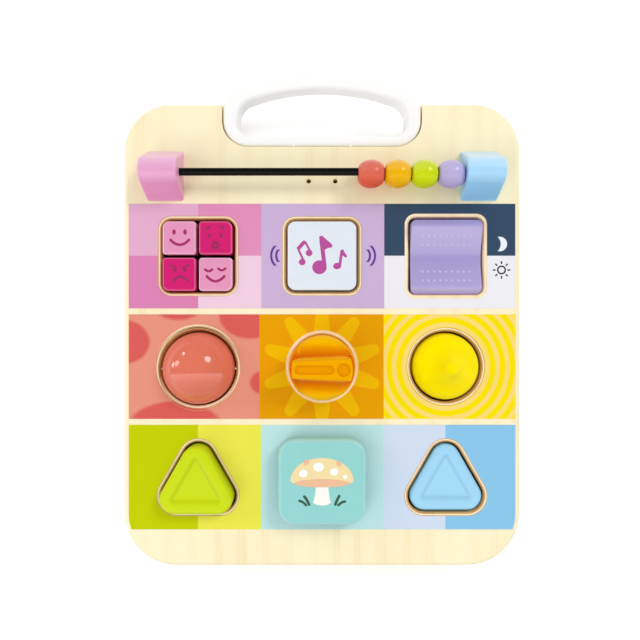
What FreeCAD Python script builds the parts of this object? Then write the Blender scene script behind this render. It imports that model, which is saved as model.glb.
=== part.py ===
import FreeCAD, Part
import math
import os
import re
import Sketcher
from FreeCAD import Vector

# A wooden busy board with a carrying handle, a bead rail and nine controls in a 3 by 3 grid.
# It lies on its back: +Z points out of the face, +Y points to the handle, +X points to the right
# when it is seen from the front, and the origin is under the middle of its box, on the back.
# All sizes are in millimetres and degrees.

SIZES = {
    # Wooden board, in three layers
    "board_width": 254,
    "board_height": 296.2,
    "top_corner": 30,
    "bottom_corner": 34,
    "back_thickness": 3,
    "core_depth": 21,
    "panel_thickness": 8,
    "face_round": 3,
    "back_round": 1.5,
    # Grid of controls
    "column_margin": 47.8,
    "row_pitch": 70.7,
    "middle_row": -29.8,
    "bay_width": 56.6,
    "bay_corner": 4,
    "bay_clearance": 0.3,
    "tray_wall": 2,
    "tray_floor": 2,
    "rim_round": 1.2,
    "ring_width": 1.9,
    "lip_thickness": 1.7,
    "lip_overlap": 1.7,
    "lip_gap": 0.3,
    "button_wall": 1.8,
    "button_top": 2.2,
    "button_round": 1.3,
    # Printed strips
    "strip_margin": 3.4,
    "strip_height": 66.8,
    "strip_thickness": 0.25,
    # Carrying handle
    "notch_width": 128.4,
    "notch_depth": 27.6,
    "notch_corner": 17,
    "handle_rise": 19.2,
    "handle_gap": 0.5,
    "handle_setback": 0.5,
    "handle_edge": 2.5,
    "shoulder_radius": 17,
    "shoulder_drop": 24,
    "grip_width": 109,
    "grip_bar": 9.4,
    "grip_arch": 18.5,
    "grip_side_radius": 12,
    "grip_corner": 9,
    "foot_bar": 6.4,
    "foot_back": 4,
    "grip_back": 21,
    "tongue_width": 80,
    "tongue_length": 10,
    "tongue_back": 8,
    "tongue_clearance": 0.3,
    "rib_spacing": 36.5,
    "rib_width": 1.2,
    # Screws
    "screw_radius": 1.6,
    "screw_head_radius": 3.4,
    "screw_head_depth": 2.2,
    "screw_length": 14,
    "screw_margin": 8.5,
    "handle_screw_spacing": 60,
    "handle_screw_length": 15,
    # Bead rail
    "rail_drop": 18.9,
    "rail_height": 11.5,
    "rod_radius": 2.4,
    "rod_margin": 38.5,
    "rod_seat": 12,
    "holder_length": 23.5,
    "holder_width": 31.6,
    "holder_crown": 9,
    "holder_centre": 13.5,
    "holder_round": 1.5,
    "peg_radius": 4,
    "peg_length": 6,
    "bead_radius": 8.6,
    "bead_length": 16.2,
    "bead_crown": 11,
    "bead_corner": 4.2,
    "bead_clearance": 0.35,
    "bead_gap": 0.35,
    "pinhole_radius": 1.5,
    "pinhole_spacing": 17,
    "pinhole_drop": 22,
    "sound_channel_width": 22,
    # Four face keys
    "key_width": 21.8,
    "key_gap": 1.35,
    "key_rim_gap": 1.2,
    "key_outer_corner": 5.5,
    "key_inner_corner": 1.8,
    "key_proud": 3.5,
    "key_travel": 3,
    "stem_radius": 3.5,
    "stem_clearance": 0.1,
    "stem_shoulder_radius": 5.6,
    "stem_shoulder_rise": 2.5,
    "stem_reach": 10,
    "boss_wall": 2,
    "boss_height": 13.5,
    "dome_wall": 1.4,
    "dome_seat": 0.2,
    # Music button
    "music_width": 43.8,
    "music_corner": 5,
    "music_rim_gap": 1.6,
    "music_proud": 3,
    "music_bulb_radius": 14,
    # Squeaker parts
    "bulb_wall": 1.2,
    "bulb_roof": 1.5,
    "bulb_pleat": 2.6,
    "bulb_seat": 0.2,
    "reed_radius": 4,
    "reed_flange": 1.5,
    "reed_rise": 1,
    "reed_bore": 1.2,
    # Rocker switch
    "rocker_width": 45.2,
    "rocker_length": 47.6,
    "rocker_side_gap": 1.7,
    "rocker_end_gap": 1.25,
    "rocker_corner": 3.6,
    "rocker_round": 1,
    "rocker_pivot_drop": 3.5,
    "rocker_crest": 4,
    "rocker_bevel_length": 4,
    "rocker_bevel_drop": 3.6,
    "rocker_valley": 5.2,
    "rocker_valley_radius": 26,
    "rocker_skirt": 6,
    "rocker_wall": 2.5,
    "rocker_roof": 3,
    "rocker_tilt": 3.5,
    "rocker_pin_radius": 2,
    "pin_clearance": 0.05,
    "click_tongue_width": 6,
    "click_tongue_thickness": 6.4,
    "click_tongue_reach": 9,
    "click_strip": 0.6,
    "click_gap": 0.5,
    "click_foot": 12,
    "click_ramp": 8,
    "click_crest": 3,
    # Rolling ball
    "ball_radius": 23.2,
    "ball_wall": 2.2,
    "ball_sink": 4,
    "ball_shift": 1.2,
    "ball_rim_gap": 1.9,
    "axle_radius": 1.5,
    "axle_seat": 3,
    "axle_clearance": 0.05,
    "bearing_width": 7,
    "ball_floor_radius": 9,
    "bearing_gap": 0.3,
    # Turning knob
    "knob_radius": 20.3,
    "knob_rim_gap": 0.95,
    "knob_skirt": 6,
    "knob_rim_height": 17.5,
    "knob_round": 2,
    "knob_roof": 4,
    "knob_wall": 2.5,
    "grip_height": 27.5,
    "grip_narrow": 10.2,
    "grip_wide": 14,
    "grip_length": 36.8,
    "grip_scoop": 6.5,
    "grip_round": 1.2,
    "knob_groove_width": 5.4,
    "knob_groove_length": 23.6,
    "knob_groove_shift": 4.6,
    "knob_groove_depth": 1,
    "knob_dimple_radius": 4,
    "knob_dimple_x": 12.9,
    "knob_shaft_radius": 4,
    "knob_shelf": 9,
    "knob_boss_height": 4,
    "click_wheel_gap": 0.4,
    "click_wheel_thickness": 3,
    "click_wheel_radius": 13,
    "click_notch_radius": 2,
    "click_notches": 12,
    "pawl_nose": 1.5,
    "pawl_arm": 1.2,
    "pawl_reach": 3,
    "pawl_span": 36,
    "pawl_post": 3,
    "washer_radius": 8,
    "washer_thickness": 1,
    "knob_screw_head": 3.6,
    "knob_screw_rise": 2.2,
    "knob_screw_shank": 1.8,
    "knob_screw_length": 8,
    # Joystick
    "joystick_radius": 20.9,
    "joystick_rim_gap": 2.15,
    "joystick_pivot_drop": 5,
    "joystick_skirt": 7,
    "joystick_wall": 2.4,
    "joystick_roof": 9.4,
    "joystick_shoulder_radius": 16.6,
    "joystick_shoulder_rise": 6.1,
    "joystick_shoulder_bend": 9,
    "joystick_neck_radius": 4.5,
    "joystick_neck_rise": 18.3,
    "joystick_neck_bend": 25,
    "joystick_height": 21.2,
    "cross_size": 8,
    "cross_gap": 0.35,
    "trunnion_radius": 1.6,
    "trunnion_length": 4,
    "ear_thickness": 4,
    "ear_width": 6,
    "ear_rise": 3,
    "post_radius": 5.5,
    "post_drop": 6,
    "yoke_height": 4,
    "boot_gap": 0.4,
    "boot_wall": 1,
    "boot_lip_radius": 20.4,
    "boot_foot_radius": 25,
    # Triangle buttons and see-saw
    "triangle_width": 46,
    "triangle_height": 42.5,
    "triangle_corner": 9.3,
    "triangle_rim_gap": 1.6,
    "triangle_up": 9.5,
    "triangle_travel": 9,
    "triangle_body": 14,
    "triangle_wall": 2,
    "triangle_facet_inset": 8,
    "triangle_round": 2,
    "triangle_roof": 2.2,
    "triangle_facet_depth": 0.6,
    "guide_plate": 2,
    "guide_plate_low": 16.2,
    "guide_leg": 5.5,
    "guide_leg_inset": 1.2,
    "guide_tube_top": 28,
    "plunger_radius": 5,
    "plunger_foot": 3.4,
    "seesaw_pivot": 11.3,
    "beam_width": 5,
    "beam_hub": 4,
    "beam_middle": 6,
    "beam_end": 3,
    "nose_radius": 2,
    "nose_clearance": 0.3,
    "guide_slot": 7,
    "guide_slot_top": 18.6,
    "beam_channel": 9,
    "beam_pin_radius": 2,
    # Push block
    "block_width": 55,
    "block_length": 53.5,
    "block_corner": 11,
    "block_proud": 13,
    "block_round": 3,
    "block_travel": 4,
    "block_gap": 0.4,
    "block_stop": 0.6,
    "block_wall": 2.4,
    "block_opening": 43.4,
    "block_opening_corner": 4,
    "collar_height": 6,
    "collar_bore": 38,
    "hook_width": 12,
    "hook_thickness": 2.4,
    "hook_lip": 1.6,
    "block_plate_low": 15.8,
    "pin_ear_drop": 8.3,
    "pin_ear_length": 10,
    "pin_ear_gap": 0.4,
    "block_bulb_radius": 14,
}

FACE = "(back_thickness + core_depth + panel_thickness)"
UNDER = "(back_thickness + core_depth)"
TOP_Y = "((board_height - handle_rise) / 2)"
BOTTOM_Y = "(-(board_height + handle_rise) / 2)"
NOTCH_Y = f"({TOP_Y} - notch_depth)"
TRAY = "(bay_width - 2 * bay_clearance)"
ROWS = {"top": "(middle_row + row_pitch)", "middle": "middle_row", "bottom": "(middle_row - row_pitch)"}
PITCH = "(board_width / 2 - column_margin)"
COLUMNS = {"left": f"(-{PITCH})", "centre": f"(0 * {PITCH})", "right": PITCH}
STRIP = "(board_width - 2 * strip_margin)"
ROD = "(board_width - 2 * rod_margin)"
RAIL_Y = f"({NOTCH_Y} - rail_drop)"
PINHOLE_Y = f"({NOTCH_Y} - pinhole_drop)"
LIP_LOW = f"({UNDER} - lip_gap - lip_thickness)"
FLOOR_TOP = "(back_thickness + tray_floor)"
BALL_Y = f"({ROWS['middle']} - ball_shift)"
BULB_PLEATS = 4

doc = FreeCAD.newDocument("busy_board")
sheet = doc.addObject("Spreadsheet::Sheet", "sizes")
for row, (alias, value) in enumerate(SIZES.items(), start=1):
    sheet.set(f"A{row}", alias)
    sheet.set(f"B{row}", str(value))
    sheet.setAlias(f"B{row}", alias)
doc.recompute()

nodes = []


def cells(text):
    """Point every size that an expression names at its cell in the sheet."""
    return re.sub(r"[a-z_]+", lambda word: f"sizes.{word[0]}" if word[0] in SIZES else word[0], text)


def number(text):
    """The present value of an expression."""
    result = sheet.evalExpression(cells(text))
    return float(getattr(result, "Value", result))


def bind(thing, name, text):
    thing.setExpression(name, cells(text))


def new_body(name, x="0", y="0", z="0"):
    body = doc.addObject("PartDesign::Body", name)
    body.Label = name
    for axis, text in zip("xyz", (x, y, z)):
        bind(body, f"Placement.Base.{axis}", text)
    nodes.append(body)
    return body


def new_sketch(body, name, height="0", plane="XY_Plane"):
    """A sketch on one of the body's own planes, moved along that plane's normal."""
    sketch = body.newObject("Sketcher::SketchObject", name)
    origin_plane = [item for item in body.Origin.OriginFeatures if item.Role == plane][0]
    sketch.AttachmentSupport = [(origin_plane, "")]
    sketch.MapMode = "FlatFace"
    bind(sketch, "AttachmentOffset.Base.z", height)
    return sketch


def hold(sketch, geometry, place, x, y):
    """Tie one point of a piece of geometry to its place in the sketch."""
    across = Sketcher.Constraint("DistanceX", -1, 1, geometry, place, number(x))
    up = Sketcher.Constraint("DistanceY", -1, 1, geometry, place, number(y))
    for index, text in zip(sketch.addConstraint([across, up]), (x, y)):
        bind(sketch, f"Constraints[{index}]", text)


def bent_edge(start, end, radius):
    """A short arc from start to end that turns left, or right if its radius is negative."""
    chord = end - start
    half = chord.Length / 2
    rise = math.sqrt(max(radius * radius - half * half, 0))
    side = Vector(-chord.y, chord.x, 0).normalize() * math.copysign(rise, radius)
    centre = (start + end) / 2 + side
    first, last = (start, end) if radius > 0 else (end, start)
    begin = math.atan2(first.y - centre.y, first.x - centre.x)
    finish = math.atan2(last.y - centre.y, last.x - centre.x)
    if finish < begin:
        finish += 2 * math.pi
    circle = Part.Circle(centre, Vector(0, 0, 1), abs(radius))
    return Part.ArcOfCircle(circle, begin, finish)


def add_outline(sketch, corners):
    """Draw a closed outline. A corner is (x, y), or (x, y, radius) where the edge after it is an arc."""
    count = len(corners)
    first = sketch.GeometryCount
    points = [Vector(number(corner[0]), number(corner[1]), 0) for corner in corners]
    ends = []
    for index, corner in enumerate(corners):
        start, end = points[index], points[(index + 1) % count]
        if len(corner) == 2:
            sketch.addGeometry(Part.LineSegment(start, end), False)
            ends.append((1, 2))
        else:
            sketch.addGeometry(bent_edge(start, end, number(corner[2])), False)
            ends.append((1, 2) if number(corner[2]) > 0 else (2, 1))
    joints = []
    for index in range(count):
        after = (index + 1) % count
        meeting = (first + index, ends[index][1], first + after, ends[after][0])
        joints.append(Sketcher.Constraint("Coincident", *meeting))
    sketch.addConstraint(joints)
    for index, corner in enumerate(corners):
        hold(sketch, first + index, ends[index][0], corner[0], corner[1])
    for index, corner in enumerate(corners):
        if len(corner) == 3:
            radius = Sketcher.Constraint("Radius", first + index, abs(number(corner[2])))
            bind(sketch, f"Constraints[{sketch.addConstraint(radius)}]", f"abs({corner[2]})")


def add_circle(sketch, x, y, radius):
    place = Vector(number(x), number(y), 0)
    index = sketch.addGeometry(Part.Circle(place, Vector(0, 0, 1), number(radius)), False)
    hold(sketch, index, 3, x, y)
    size = sketch.addConstraint(Sketcher.Constraint("Radius", index, number(radius)))
    bind(sketch, f"Constraints[{size}]", radius)


def add_rectangle(sketch, x, y, width, height):
    left, right = f"{x} - ({width}) / 2", f"{x} + ({width}) / 2"
    low, high = f"{y} - ({height}) / 2", f"{y} + ({height}) / 2"
    add_outline(sketch, [(left, low), (right, low), (right, high), (left, high)])


def add_rounded(sketch, x, y, width, height, radii):
    """A rectangle with round corners: one radius, or four from the lower right, counterclockwise."""
    lower_right, upper_right, upper_left, lower_left = radii if isinstance(radii, tuple) else (radii,) * 4
    left, right = f"{x} - ({width}) / 2", f"{x} + ({width}) / 2"
    low, high = f"{y} - ({height}) / 2", f"{y} + ({height}) / 2"
    add_outline(sketch, [
        (f"{right} - {lower_right}", low, lower_right),
        (right, f"{low} + {lower_right}"),
        (right, f"{high} - {upper_right}", upper_right),
        (f"{right} - {upper_right}", high),
        (f"{left} + {upper_left}", high, upper_left),
        (left, f"{high} - {upper_left}"),
        (left, f"{low} + {lower_left}", lower_left),
        (f"{left} + {lower_left}", low),
    ])


def add_triangle(sketch, x, y, grow):
    """The round-cornered triangle of the two triangle buttons, widened all round by grow."""
    radius = f"(triangle_corner + {grow})"
    side = "(triangle_width / 2 - triangle_corner)"
    rise = "(triangle_height / 2 - triangle_corner)"
    slant = f"sqrt({side}^2 + 4 * {rise}^2)"
    out = f"{radius} * 2 * {rise} / {slant}"
    up = f"{radius} * {side} / {slant}"
    add_outline(sketch, [
        (f"{x} - {side}", f"{y} - {rise} - {radius}"),
        (f"{x} + {side}", f"{y} - {rise} - {radius}", radius),
        (f"{x} + {side} + {out}", f"{y} - {rise} + {up}"),
        (f"{x} + {out}", f"{y} + {rise} + {up}", radius),
        (f"{x} - {out}", f"{y} + {rise} + {up}"),
        (f"{x} - {side} - {out}", f"{y} - {rise} + {up}", radius),
    ])


def pad(body, sketch, length, downward=False):
    feature = body.newObject("PartDesign::Pad", f"{sketch.Name}_pad")
    feature.Profile = sketch
    feature.Reversed = downward
    bind(feature, "Length", length)
    return feature


def pocket(body, sketch, length, upward=False):
    """Cut from the sketch along its plane's negative normal, or along the normal if upward."""
    feature = body.newObject("PartDesign::Pocket", f"{sketch.Name}_pocket")
    feature.Profile = sketch
    feature.Reversed = upward
    bind(feature, "Length", length)
    return feature


def revolve(body, sketch, cut=False):
    """Turn a profile once round the body's Z axis."""
    kind = "PartDesign::Groove" if cut else "PartDesign::Revolution"
    feature = body.newObject(kind, f"{sketch.Name}_turned")
    feature.Profile = sketch
    feature.ReferenceAxis = (sketch, ["V_Axis"])
    feature.Angle = 360
    return feature


def fillet(body, base, radius, wanted):
    """Round the edges of the latest feature that the test picks out."""
    doc.recompute()
    feature = body.newObject("PartDesign::Fillet", f"{base.Name}_round")
    feature.Base = (base, [f"Edge{n}" for n, edge in enumerate(base.Shape.Edges, 1) if wanted(edge)])
    bind(feature, "Radius", radius)
    return feature


def lies_at(edge, height):
    """Whether a whole edge lies at one height."""
    box = edge.BoundBox
    level = number(height)
    return abs(box.ZMin - level) < 1e-4 and abs(box.ZMax - level) < 1e-4


def cylinder(name, radius, length, x="0", y="0", z="0", axis=Vector(0, 0, 1)):
    """A plain cylinder that starts at the given place and runs along an axis."""
    shape = doc.addObject("Part::Cylinder", name)
    shape.Placement.Rotation = FreeCAD.Rotation(Vector(0, 0, 1), axis)
    bind(shape, "Radius", radius)
    bind(shape, "Height", length)
    for place, text in zip("xyz", (x, y, z)):
        bind(shape, f"Placement.Base.{place}", text)
    return shape


def as_node(shape, name):
    shape.Label = name
    nodes.append(shape)
    return shape


def board_outline(sketch):
    """The board's outline with the notch for the handle in its top edge."""
    half, notch = "board_width / 2", "notch_width / 2"
    add_outline(sketch, [
        (f"{half} - bottom_corner", BOTTOM_Y, "bottom_corner"),
        (half, f"{BOTTOM_Y} + bottom_corner"),
        (half, f"{TOP_Y} - top_corner", "top_corner"),
        (f"{half} - top_corner", TOP_Y),
        (notch, TOP_Y),
        (notch, f"{NOTCH_Y} + notch_corner", "-notch_corner"),
        (f"{notch} - notch_corner", NOTCH_Y),
        (f"-{notch} + notch_corner", NOTCH_Y, "-notch_corner"),
        (f"-{notch}", f"{NOTCH_Y} + notch_corner"),
        (f"-{notch}", TOP_Y),
        (f"-{half} + top_corner", TOP_Y, "top_corner"),
        (f"-{half}", f"{TOP_Y} - top_corner"),
        (f"-{half}", f"{BOTTOM_Y} + bottom_corner", "bottom_corner"),
        (f"-{half} + bottom_corner", BOTTOM_Y),
    ])


def key_opening(sketch, x, y, grow):
    width = f"(2 * key_width + key_gap + 2 * key_rim_gap + 2 * {grow})"
    add_rounded(sketch, x, y, width, width, f"(key_outer_corner + key_rim_gap + {grow})")


def music_opening(sketch, x, y, grow):
    width = f"(music_width + 2 * music_rim_gap + 2 * {grow})"
    add_rounded(sketch, x, y, width, width, f"(music_corner + music_rim_gap + {grow})")


def rocker_opening(sketch, x, y, grow):
    width = f"(rocker_width + 2 * rocker_side_gap + 2 * {grow})"
    length = f"(rocker_length + 2 * rocker_end_gap + 2 * {grow})"
    add_rounded(sketch, x, y, width, length, f"(rocker_corner + rocker_end_gap + {grow})")


def ball_opening(sketch, x, y, grow):
    add_circle(sketch, x, y, f"ball_radius + ball_rim_gap + {grow}")


def knob_opening(sketch, x, y, grow):
    add_circle(sketch, x, y, f"knob_radius + knob_rim_gap + {grow}")


def joystick_opening(sketch, x, y, grow):
    add_circle(sketch, x, y, f"joystick_radius + joystick_rim_gap + {grow}")


def triangle_opening(sketch, x, y, grow):
    add_triangle(sketch, x, y, f"triangle_rim_gap + {grow}")


def block_opening(sketch, x, y, grow):
    width = f"(block_opening + 2 * {grow})"
    add_rounded(sketch, x, y, width, width, f"(block_opening_corner + {grow})")


def collar_outline(sketch, x, y, grow):
    """The outside of the block's collar, which stands on the face and clears the print."""
    width = f"(block_width - 2 * block_wall - 2 * block_gap + 2 * {grow})"
    length = f"(block_length - 2 * block_wall - 2 * block_gap + 2 * {grow})"
    add_rounded(sketch, x, y, width, length, f"(block_corner - block_wall - block_gap + {grow})")


OPENINGS = {
    "top": {"left": key_opening, "centre": music_opening, "right": rocker_opening},
    "middle": {"left": ball_opening, "centre": knob_opening, "right": joystick_opening},
    "bottom": {"left": triangle_opening, "centre": block_opening, "right": triangle_opening},
}
HANDLE_SCREW_Y = f"({NOTCH_Y} - tongue_length / 2)"


def screw_places():
    """Centres of the screws round the edge of the board, as expressions."""
    side = "(board_width / 2 - screw_margin)"
    low = f"({BOTTOM_Y} + bottom_corner)"
    middle = "(middle_row + row_pitch / 2)"
    high = f"({TOP_Y} - top_corner)"
    return [(f"{sign}{side}", y) for sign in ("-", "") for y in (low, middle, high)]


def handle_screw_places():
    return [(f"{sign}(handle_screw_spacing / 2)", HANDLE_SCREW_Y) for sign in ("-", "")]


def make_front_panel():
    """The wooden face: nine openings with rounded rims, two pinholes and two peg holes."""
    body = new_body("front_panel")
    outline = new_sketch(body, "panel_outline", UNDER)
    board_outline(outline)
    pad(body, outline, "panel_thickness")
    for row, openings in OPENINGS.items():
        for column, opening in openings.items():
            sketch = new_sketch(body, f"opening_{row}_{column}", FACE)
            opening(sketch, COLUMNS[column], ROWS[row], "0")
            cut = pocket(body, sketch, "panel_thickness")
    half_box = number("board_width / 2") - 0.01

    def rim(edge):
        box = edge.BoundBox
        inside = box.XMax < half_box and box.XMin > -half_box and box.YMax < number(NOTCH_Y) - 0.01
        return lies_at(edge, FACE) and inside and box.YMin > number(BOTTOM_Y) + 0.01

    rounded = fillet(body, cut, "rim_round", rim)
    fillet(body, rounded, "face_round", lambda edge: lies_at(edge, FACE) and is_outer(edge))
    holes = new_sketch(body, "panel_holes", FACE)
    for sign in ("-", ""):
        add_circle(holes, f"{sign}(pinhole_spacing / 2)", PINHOLE_Y, "pinhole_radius")
    pocket(body, holes, "panel_thickness")
    bearings = new_sketch(body, "bearing_slots", UNDER)
    width = f"({TRAY} + 2 * bay_clearance)"
    add_rectangle(bearings, COLUMNS["left"], BALL_Y, width, "bearing_width + 2 * bearing_gap")
    pocket(body, bearings, f"{FACE} - ball_sink + axle_radius + bearing_gap - {UNDER}", upward=True)
    pegs = new_sketch(body, "peg_holes", FACE)
    for sign in ("-", ""):
        add_circle(pegs, f"{sign}({ROD} / 2 + holder_length / 2)", RAIL_Y, "peg_radius")
    pocket(body, pegs, "peg_length")


def is_outer(edge):
    """Whether an edge of a layer belongs to its outside, apart from the handle's notch."""
    box = edge.BoundBox
    half, notch = number("board_width / 2"), number("notch_width / 2")
    low, high = number(BOTTOM_Y), number(TOP_Y)
    at_side = abs(box.XMax - half) < 1e-3 or abs(box.XMin + half) < 1e-3
    at_end = abs(box.YMin - low) < 1e-3 or (box.YMax > high - 1e-3 and box.YMin > high - 1e-3)
    return at_side or at_end or (box.YMax > high - 1e-3 and max(box.XMax, -box.XMin) > notch + 1)


def make_core_frame():
    """The wooden middle layer, with a bay behind each control."""
    body = new_body("core_frame")
    outline = new_sketch(body, "core_outline", "back_thickness")
    board_outline(outline)
    pad(body, outline, "core_depth")
    bays = new_sketch(body, "bays", UNDER)
    for row in ROWS.values():
        for column in COLUMNS.values():
            add_rounded(bays, column, row, "bay_width", "bay_width", "bay_corner")
    pocket(body, bays, "core_depth")
    channel = new_sketch(body, "beam_slot", UNDER)
    add_rectangle(channel, COLUMNS["centre"], ROWS["bottom"], f"2 * {PITCH}", "beam_channel")
    pocket(body, channel, "core_depth")
    bay_top = f"({ROWS['top']} + bay_width / 2)"
    sound = new_sketch(body, "sound_slot", UNDER)
    high = f"({PINHOLE_Y} + sound_channel_width / 6 - {bay_top} + bay_corner)"
    add_rectangle(sound, "0", f"{bay_top} - bay_corner + {high} / 2", "sound_channel_width", high)
    pocket(body, sound, "core_depth / 2")
    seat = new_sketch(body, "tongue_seat", UNDER)
    reach = "(tongue_length + tongue_clearance)"
    add_rectangle(seat, "0", f"{NOTCH_Y} - {reach} / 2", "tongue_width + 2 * tongue_clearance", reach)
    pocket(body, seat, f"{UNDER} - tongue_back + tongue_clearance")
    pilots = new_sketch(body, "pilot_holes", "back_thickness")
    for x, y in screw_places() + handle_screw_places():
        add_circle(pilots, x, y, "screw_radius")
    pocket(body, pilots, "screw_length - back_thickness + 1", upward=True)


def make_back_panel():
    """The thin wooden back, with a countersunk hole for every screw."""
    body = new_body("back_panel")
    outline = new_sketch(body, "back_outline", "0")
    board_outline(outline)
    base = pad(body, outline, "back_thickness")
    fillet(body, base, "back_round", lambda edge: lies_at(edge, "0") and is_outer(edge))
    doc.recompute()
    places = new_sketch(body, "screw_marks", "0")
    for x, y in screw_places() + handle_screw_places():
        add_circle(places, x, y, "screw_radius")
    doc.recompute()
    holes = body.newObject("PartDesign::Hole", "screw_holes")
    holes.Profile = places
    holes.DepthType = "ThroughAll"
    holes.Reversed = True
    holes.HoleCutType = "Countersink"
    holes.HoleCutCustomValues = True
    bind(holes, "Diameter", "2 * screw_radius")
    bind(holes, "HoleCutDiameter", "2 * screw_head_radius")
    bind(holes, "HoleCutCountersinkAngle", "2 * atan((screw_head_radius - screw_radius) / screw_head_depth)")


def make_screws(name, places, length):
    """Countersunk screws from the back, all in one node as separate solids."""
    screws = []
    for number_of_screw, (x, y) in enumerate(places, start=1):
        head = doc.addObject("Part::Cone", f"{name}_head_{number_of_screw}")
        bind(head, "Radius1", "screw_head_radius")
        bind(head, "Radius2", "screw_radius")
        bind(head, "Height", "screw_head_depth")
        bind(head, "Placement.Base.x", x)
        bind(head, "Placement.Base.y", y)
        shank = cylinder(f"{name}_shank_{number_of_screw}", "screw_radius", length, x, y, "0")
        screw = doc.addObject("Part::Fuse", f"{name}_{number_of_screw}")
        screw.Base = head
        screw.Tool = shank
        screws.append(screw)
    group = doc.addObject("Part::Compound", name)
    group.Links = screws
    as_node(group, name)


def arch(half, rise, side, spring):
    """The far half of a three-centred arch, from its right springing point over the crown to its left.

    The side arcs have the radius side, and the crown's radius follows from the span and the rise."""
    crown = f"((({half})^2 + ({rise})^2 - 2 * ({half}) * {side}) / (2 * (({rise}) - {side})))"
    out = f"((({half}) - {side}) * {crown} / ({crown} - {side}))"
    up = f"({side} * ({crown} - ({rise})) / ({crown} - {side}))"
    return [
        (half, spring, side),
        (out, f"{spring} + {up}", crown),
        (f"-{out}", f"{spring} + {up}", side),
        (f"-({half})", spring),
    ]


def make_handle():
    """The white grip: an arched outline, thicker at its foot, with a tongue that sits in the core."""
    body = new_body("handle")
    front = f"({FACE} - handle_setback)"
    half = "(notch_width / 2 - handle_gap)"
    low = f"({NOTCH_Y} + handle_gap)"
    corner = "(notch_corner - handle_gap)"
    top = f"({TOP_Y} + handle_rise)"
    outside = new_sketch(body, "handle_outside", front)
    add_outline(outside, [
        (f"-{half} + {corner}", low),
        (f"{half} - {corner}", low, corner),
        (half, f"{low} + {corner}"),
        *arch(half, "shoulder_drop", "shoulder_radius", f"({top} - shoulder_drop)"),
        (f"-{half}", f"{low} + {corner}", corner),
    ])
    pad(body, outside, front, downward=True)
    opening = new_sketch(body, "handle_opening", front)
    bottom = f"({low} + foot_bar)"
    spring = f"({top} - grip_bar - grip_arch)"
    add_outline(opening, [
        ("-grip_width / 2 + grip_corner", bottom),
        ("grip_width / 2 - grip_corner", bottom, "grip_corner"),
        ("grip_width / 2", f"{bottom} + grip_corner"),
        *arch("grip_width / 2", "grip_arch", "grip_side_radius", spring),
        ("-grip_width / 2", f"{bottom} + grip_corner", "grip_corner"),
    ])
    pocket(body, opening, front)
    wedge = new_sketch(body, "handle_underside", "-board_width / 2", "YZ_Plane")
    past = f"({top} + handle_gap)"
    before = f"({low} - handle_gap)"
    add_outline(wedge, [(before, "-1"), (past, "-1"), (past, "grip_back"), (before, "foot_back")])
    shaped = pocket(body, wedge, "board_width", upward=True)

    def edge_of_grip(edge):
        box = edge.BoundBox
        upright = box.ZLength > 1 and box.XLength < 1e-3 and box.YLength < 1e-3
        return not upright and not (box.YMax < number(low) + 1e-3)

    fillet(body, shaped, "handle_edge", edge_of_grip)
    tongue = new_sketch(body, "handle_tongue", UNDER)
    reach = "(tongue_length + handle_gap + handle_edge)"
    add_rectangle(tongue, "0", f"{NOTCH_Y} - tongue_length + {reach} / 2", "tongue_width", reach)
    pad(body, tongue, f"{UNDER} - tongue_back", downward=True)
    ribs = new_sketch(body, "handle_ribs", f"{FACE} - 2 * handle_setback")
    length = "(handle_gap + handle_edge)"
    for sign in ("-", ""):
        add_rectangle(ribs, f"{sign}(rib_spacing / 2)", f"{NOTCH_Y} + {length} / 2", "rib_width", length)
    pad(body, ribs, "panel_thickness", downward=True)
    pilots = new_sketch(body, "handle_pilots", "tongue_back")
    for x, y in handle_screw_places():
        add_circle(pilots, x, y, "screw_radius")
    pocket(body, pilots, "handle_screw_length - tongue_back + 1", upward=True)


def make_print_strip(row):
    """One printed strip on the face, cut out round its three openings."""
    body = new_body(f"print_strip_{row}")
    sketch = new_sketch(body, f"strip_{row}", FACE)
    half = f"{STRIP} / 2"
    low, high = f"({ROWS[row]} - strip_height / 2)", f"({ROWS[row]} + strip_height / 2)"
    if row == "bottom":
        inset = "(bottom_corner - strip_margin)"
        centre = f"({BOTTOM_Y} + bottom_corner)"
        side = f"(board_width / 2 - bottom_corner + sqrt({inset}^2 - ({centre} - {low})^2))"
        add_outline(sketch, [
            (f"-{side}", low), (side, low, inset), (half, centre), (half, high), (f"-{half}", high),
            (f"-{half}", centre, inset),
        ])
    else:
        add_rectangle(sketch, "0", ROWS[row], STRIP, "strip_height")
    pad(body, sketch, "strip_thickness")
    for column, opening in OPENINGS[row].items():
        cut = new_sketch(body, f"strip_{row}_{column}", f"{FACE} + strip_thickness")
        if opening is block_opening:
            collar_outline(cut, COLUMNS[column], ROWS[row], "bay_clearance")
        else:
            opening(cut, COLUMNS[column], ROWS[row], "ring_width")
        pocket(body, cut, "strip_thickness")


def make_bead_rail():
    """The rod, its two end blocks and four beads, which rest against the right block."""
    height = f"({FACE} + rail_height)"
    rod = cylinder(
        "rod", "rod_radius", f"{ROD} + 2 * rod_seat",
        f"-{ROD} / 2 - rod_seat", RAIL_Y, height, Vector(1, 0, 0)
    )
    as_node(rod, "rail_rod")
    for side, sign in (("left", "-"), ("right", "")):
        middle = f"{sign}({ROD} / 2 + holder_length / 2)"
        make_holder(f"rail_holder_{side}", middle, sign)
    for place, colour in enumerate(("purple", "lime", "orange", "red")):
        steps = f"({place} + 1) * bead_gap + ({place} + 0.5) * bead_length"
        make_bead(f"bead_{colour}", f"{ROD} / 2 - ({steps})", height)


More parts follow.
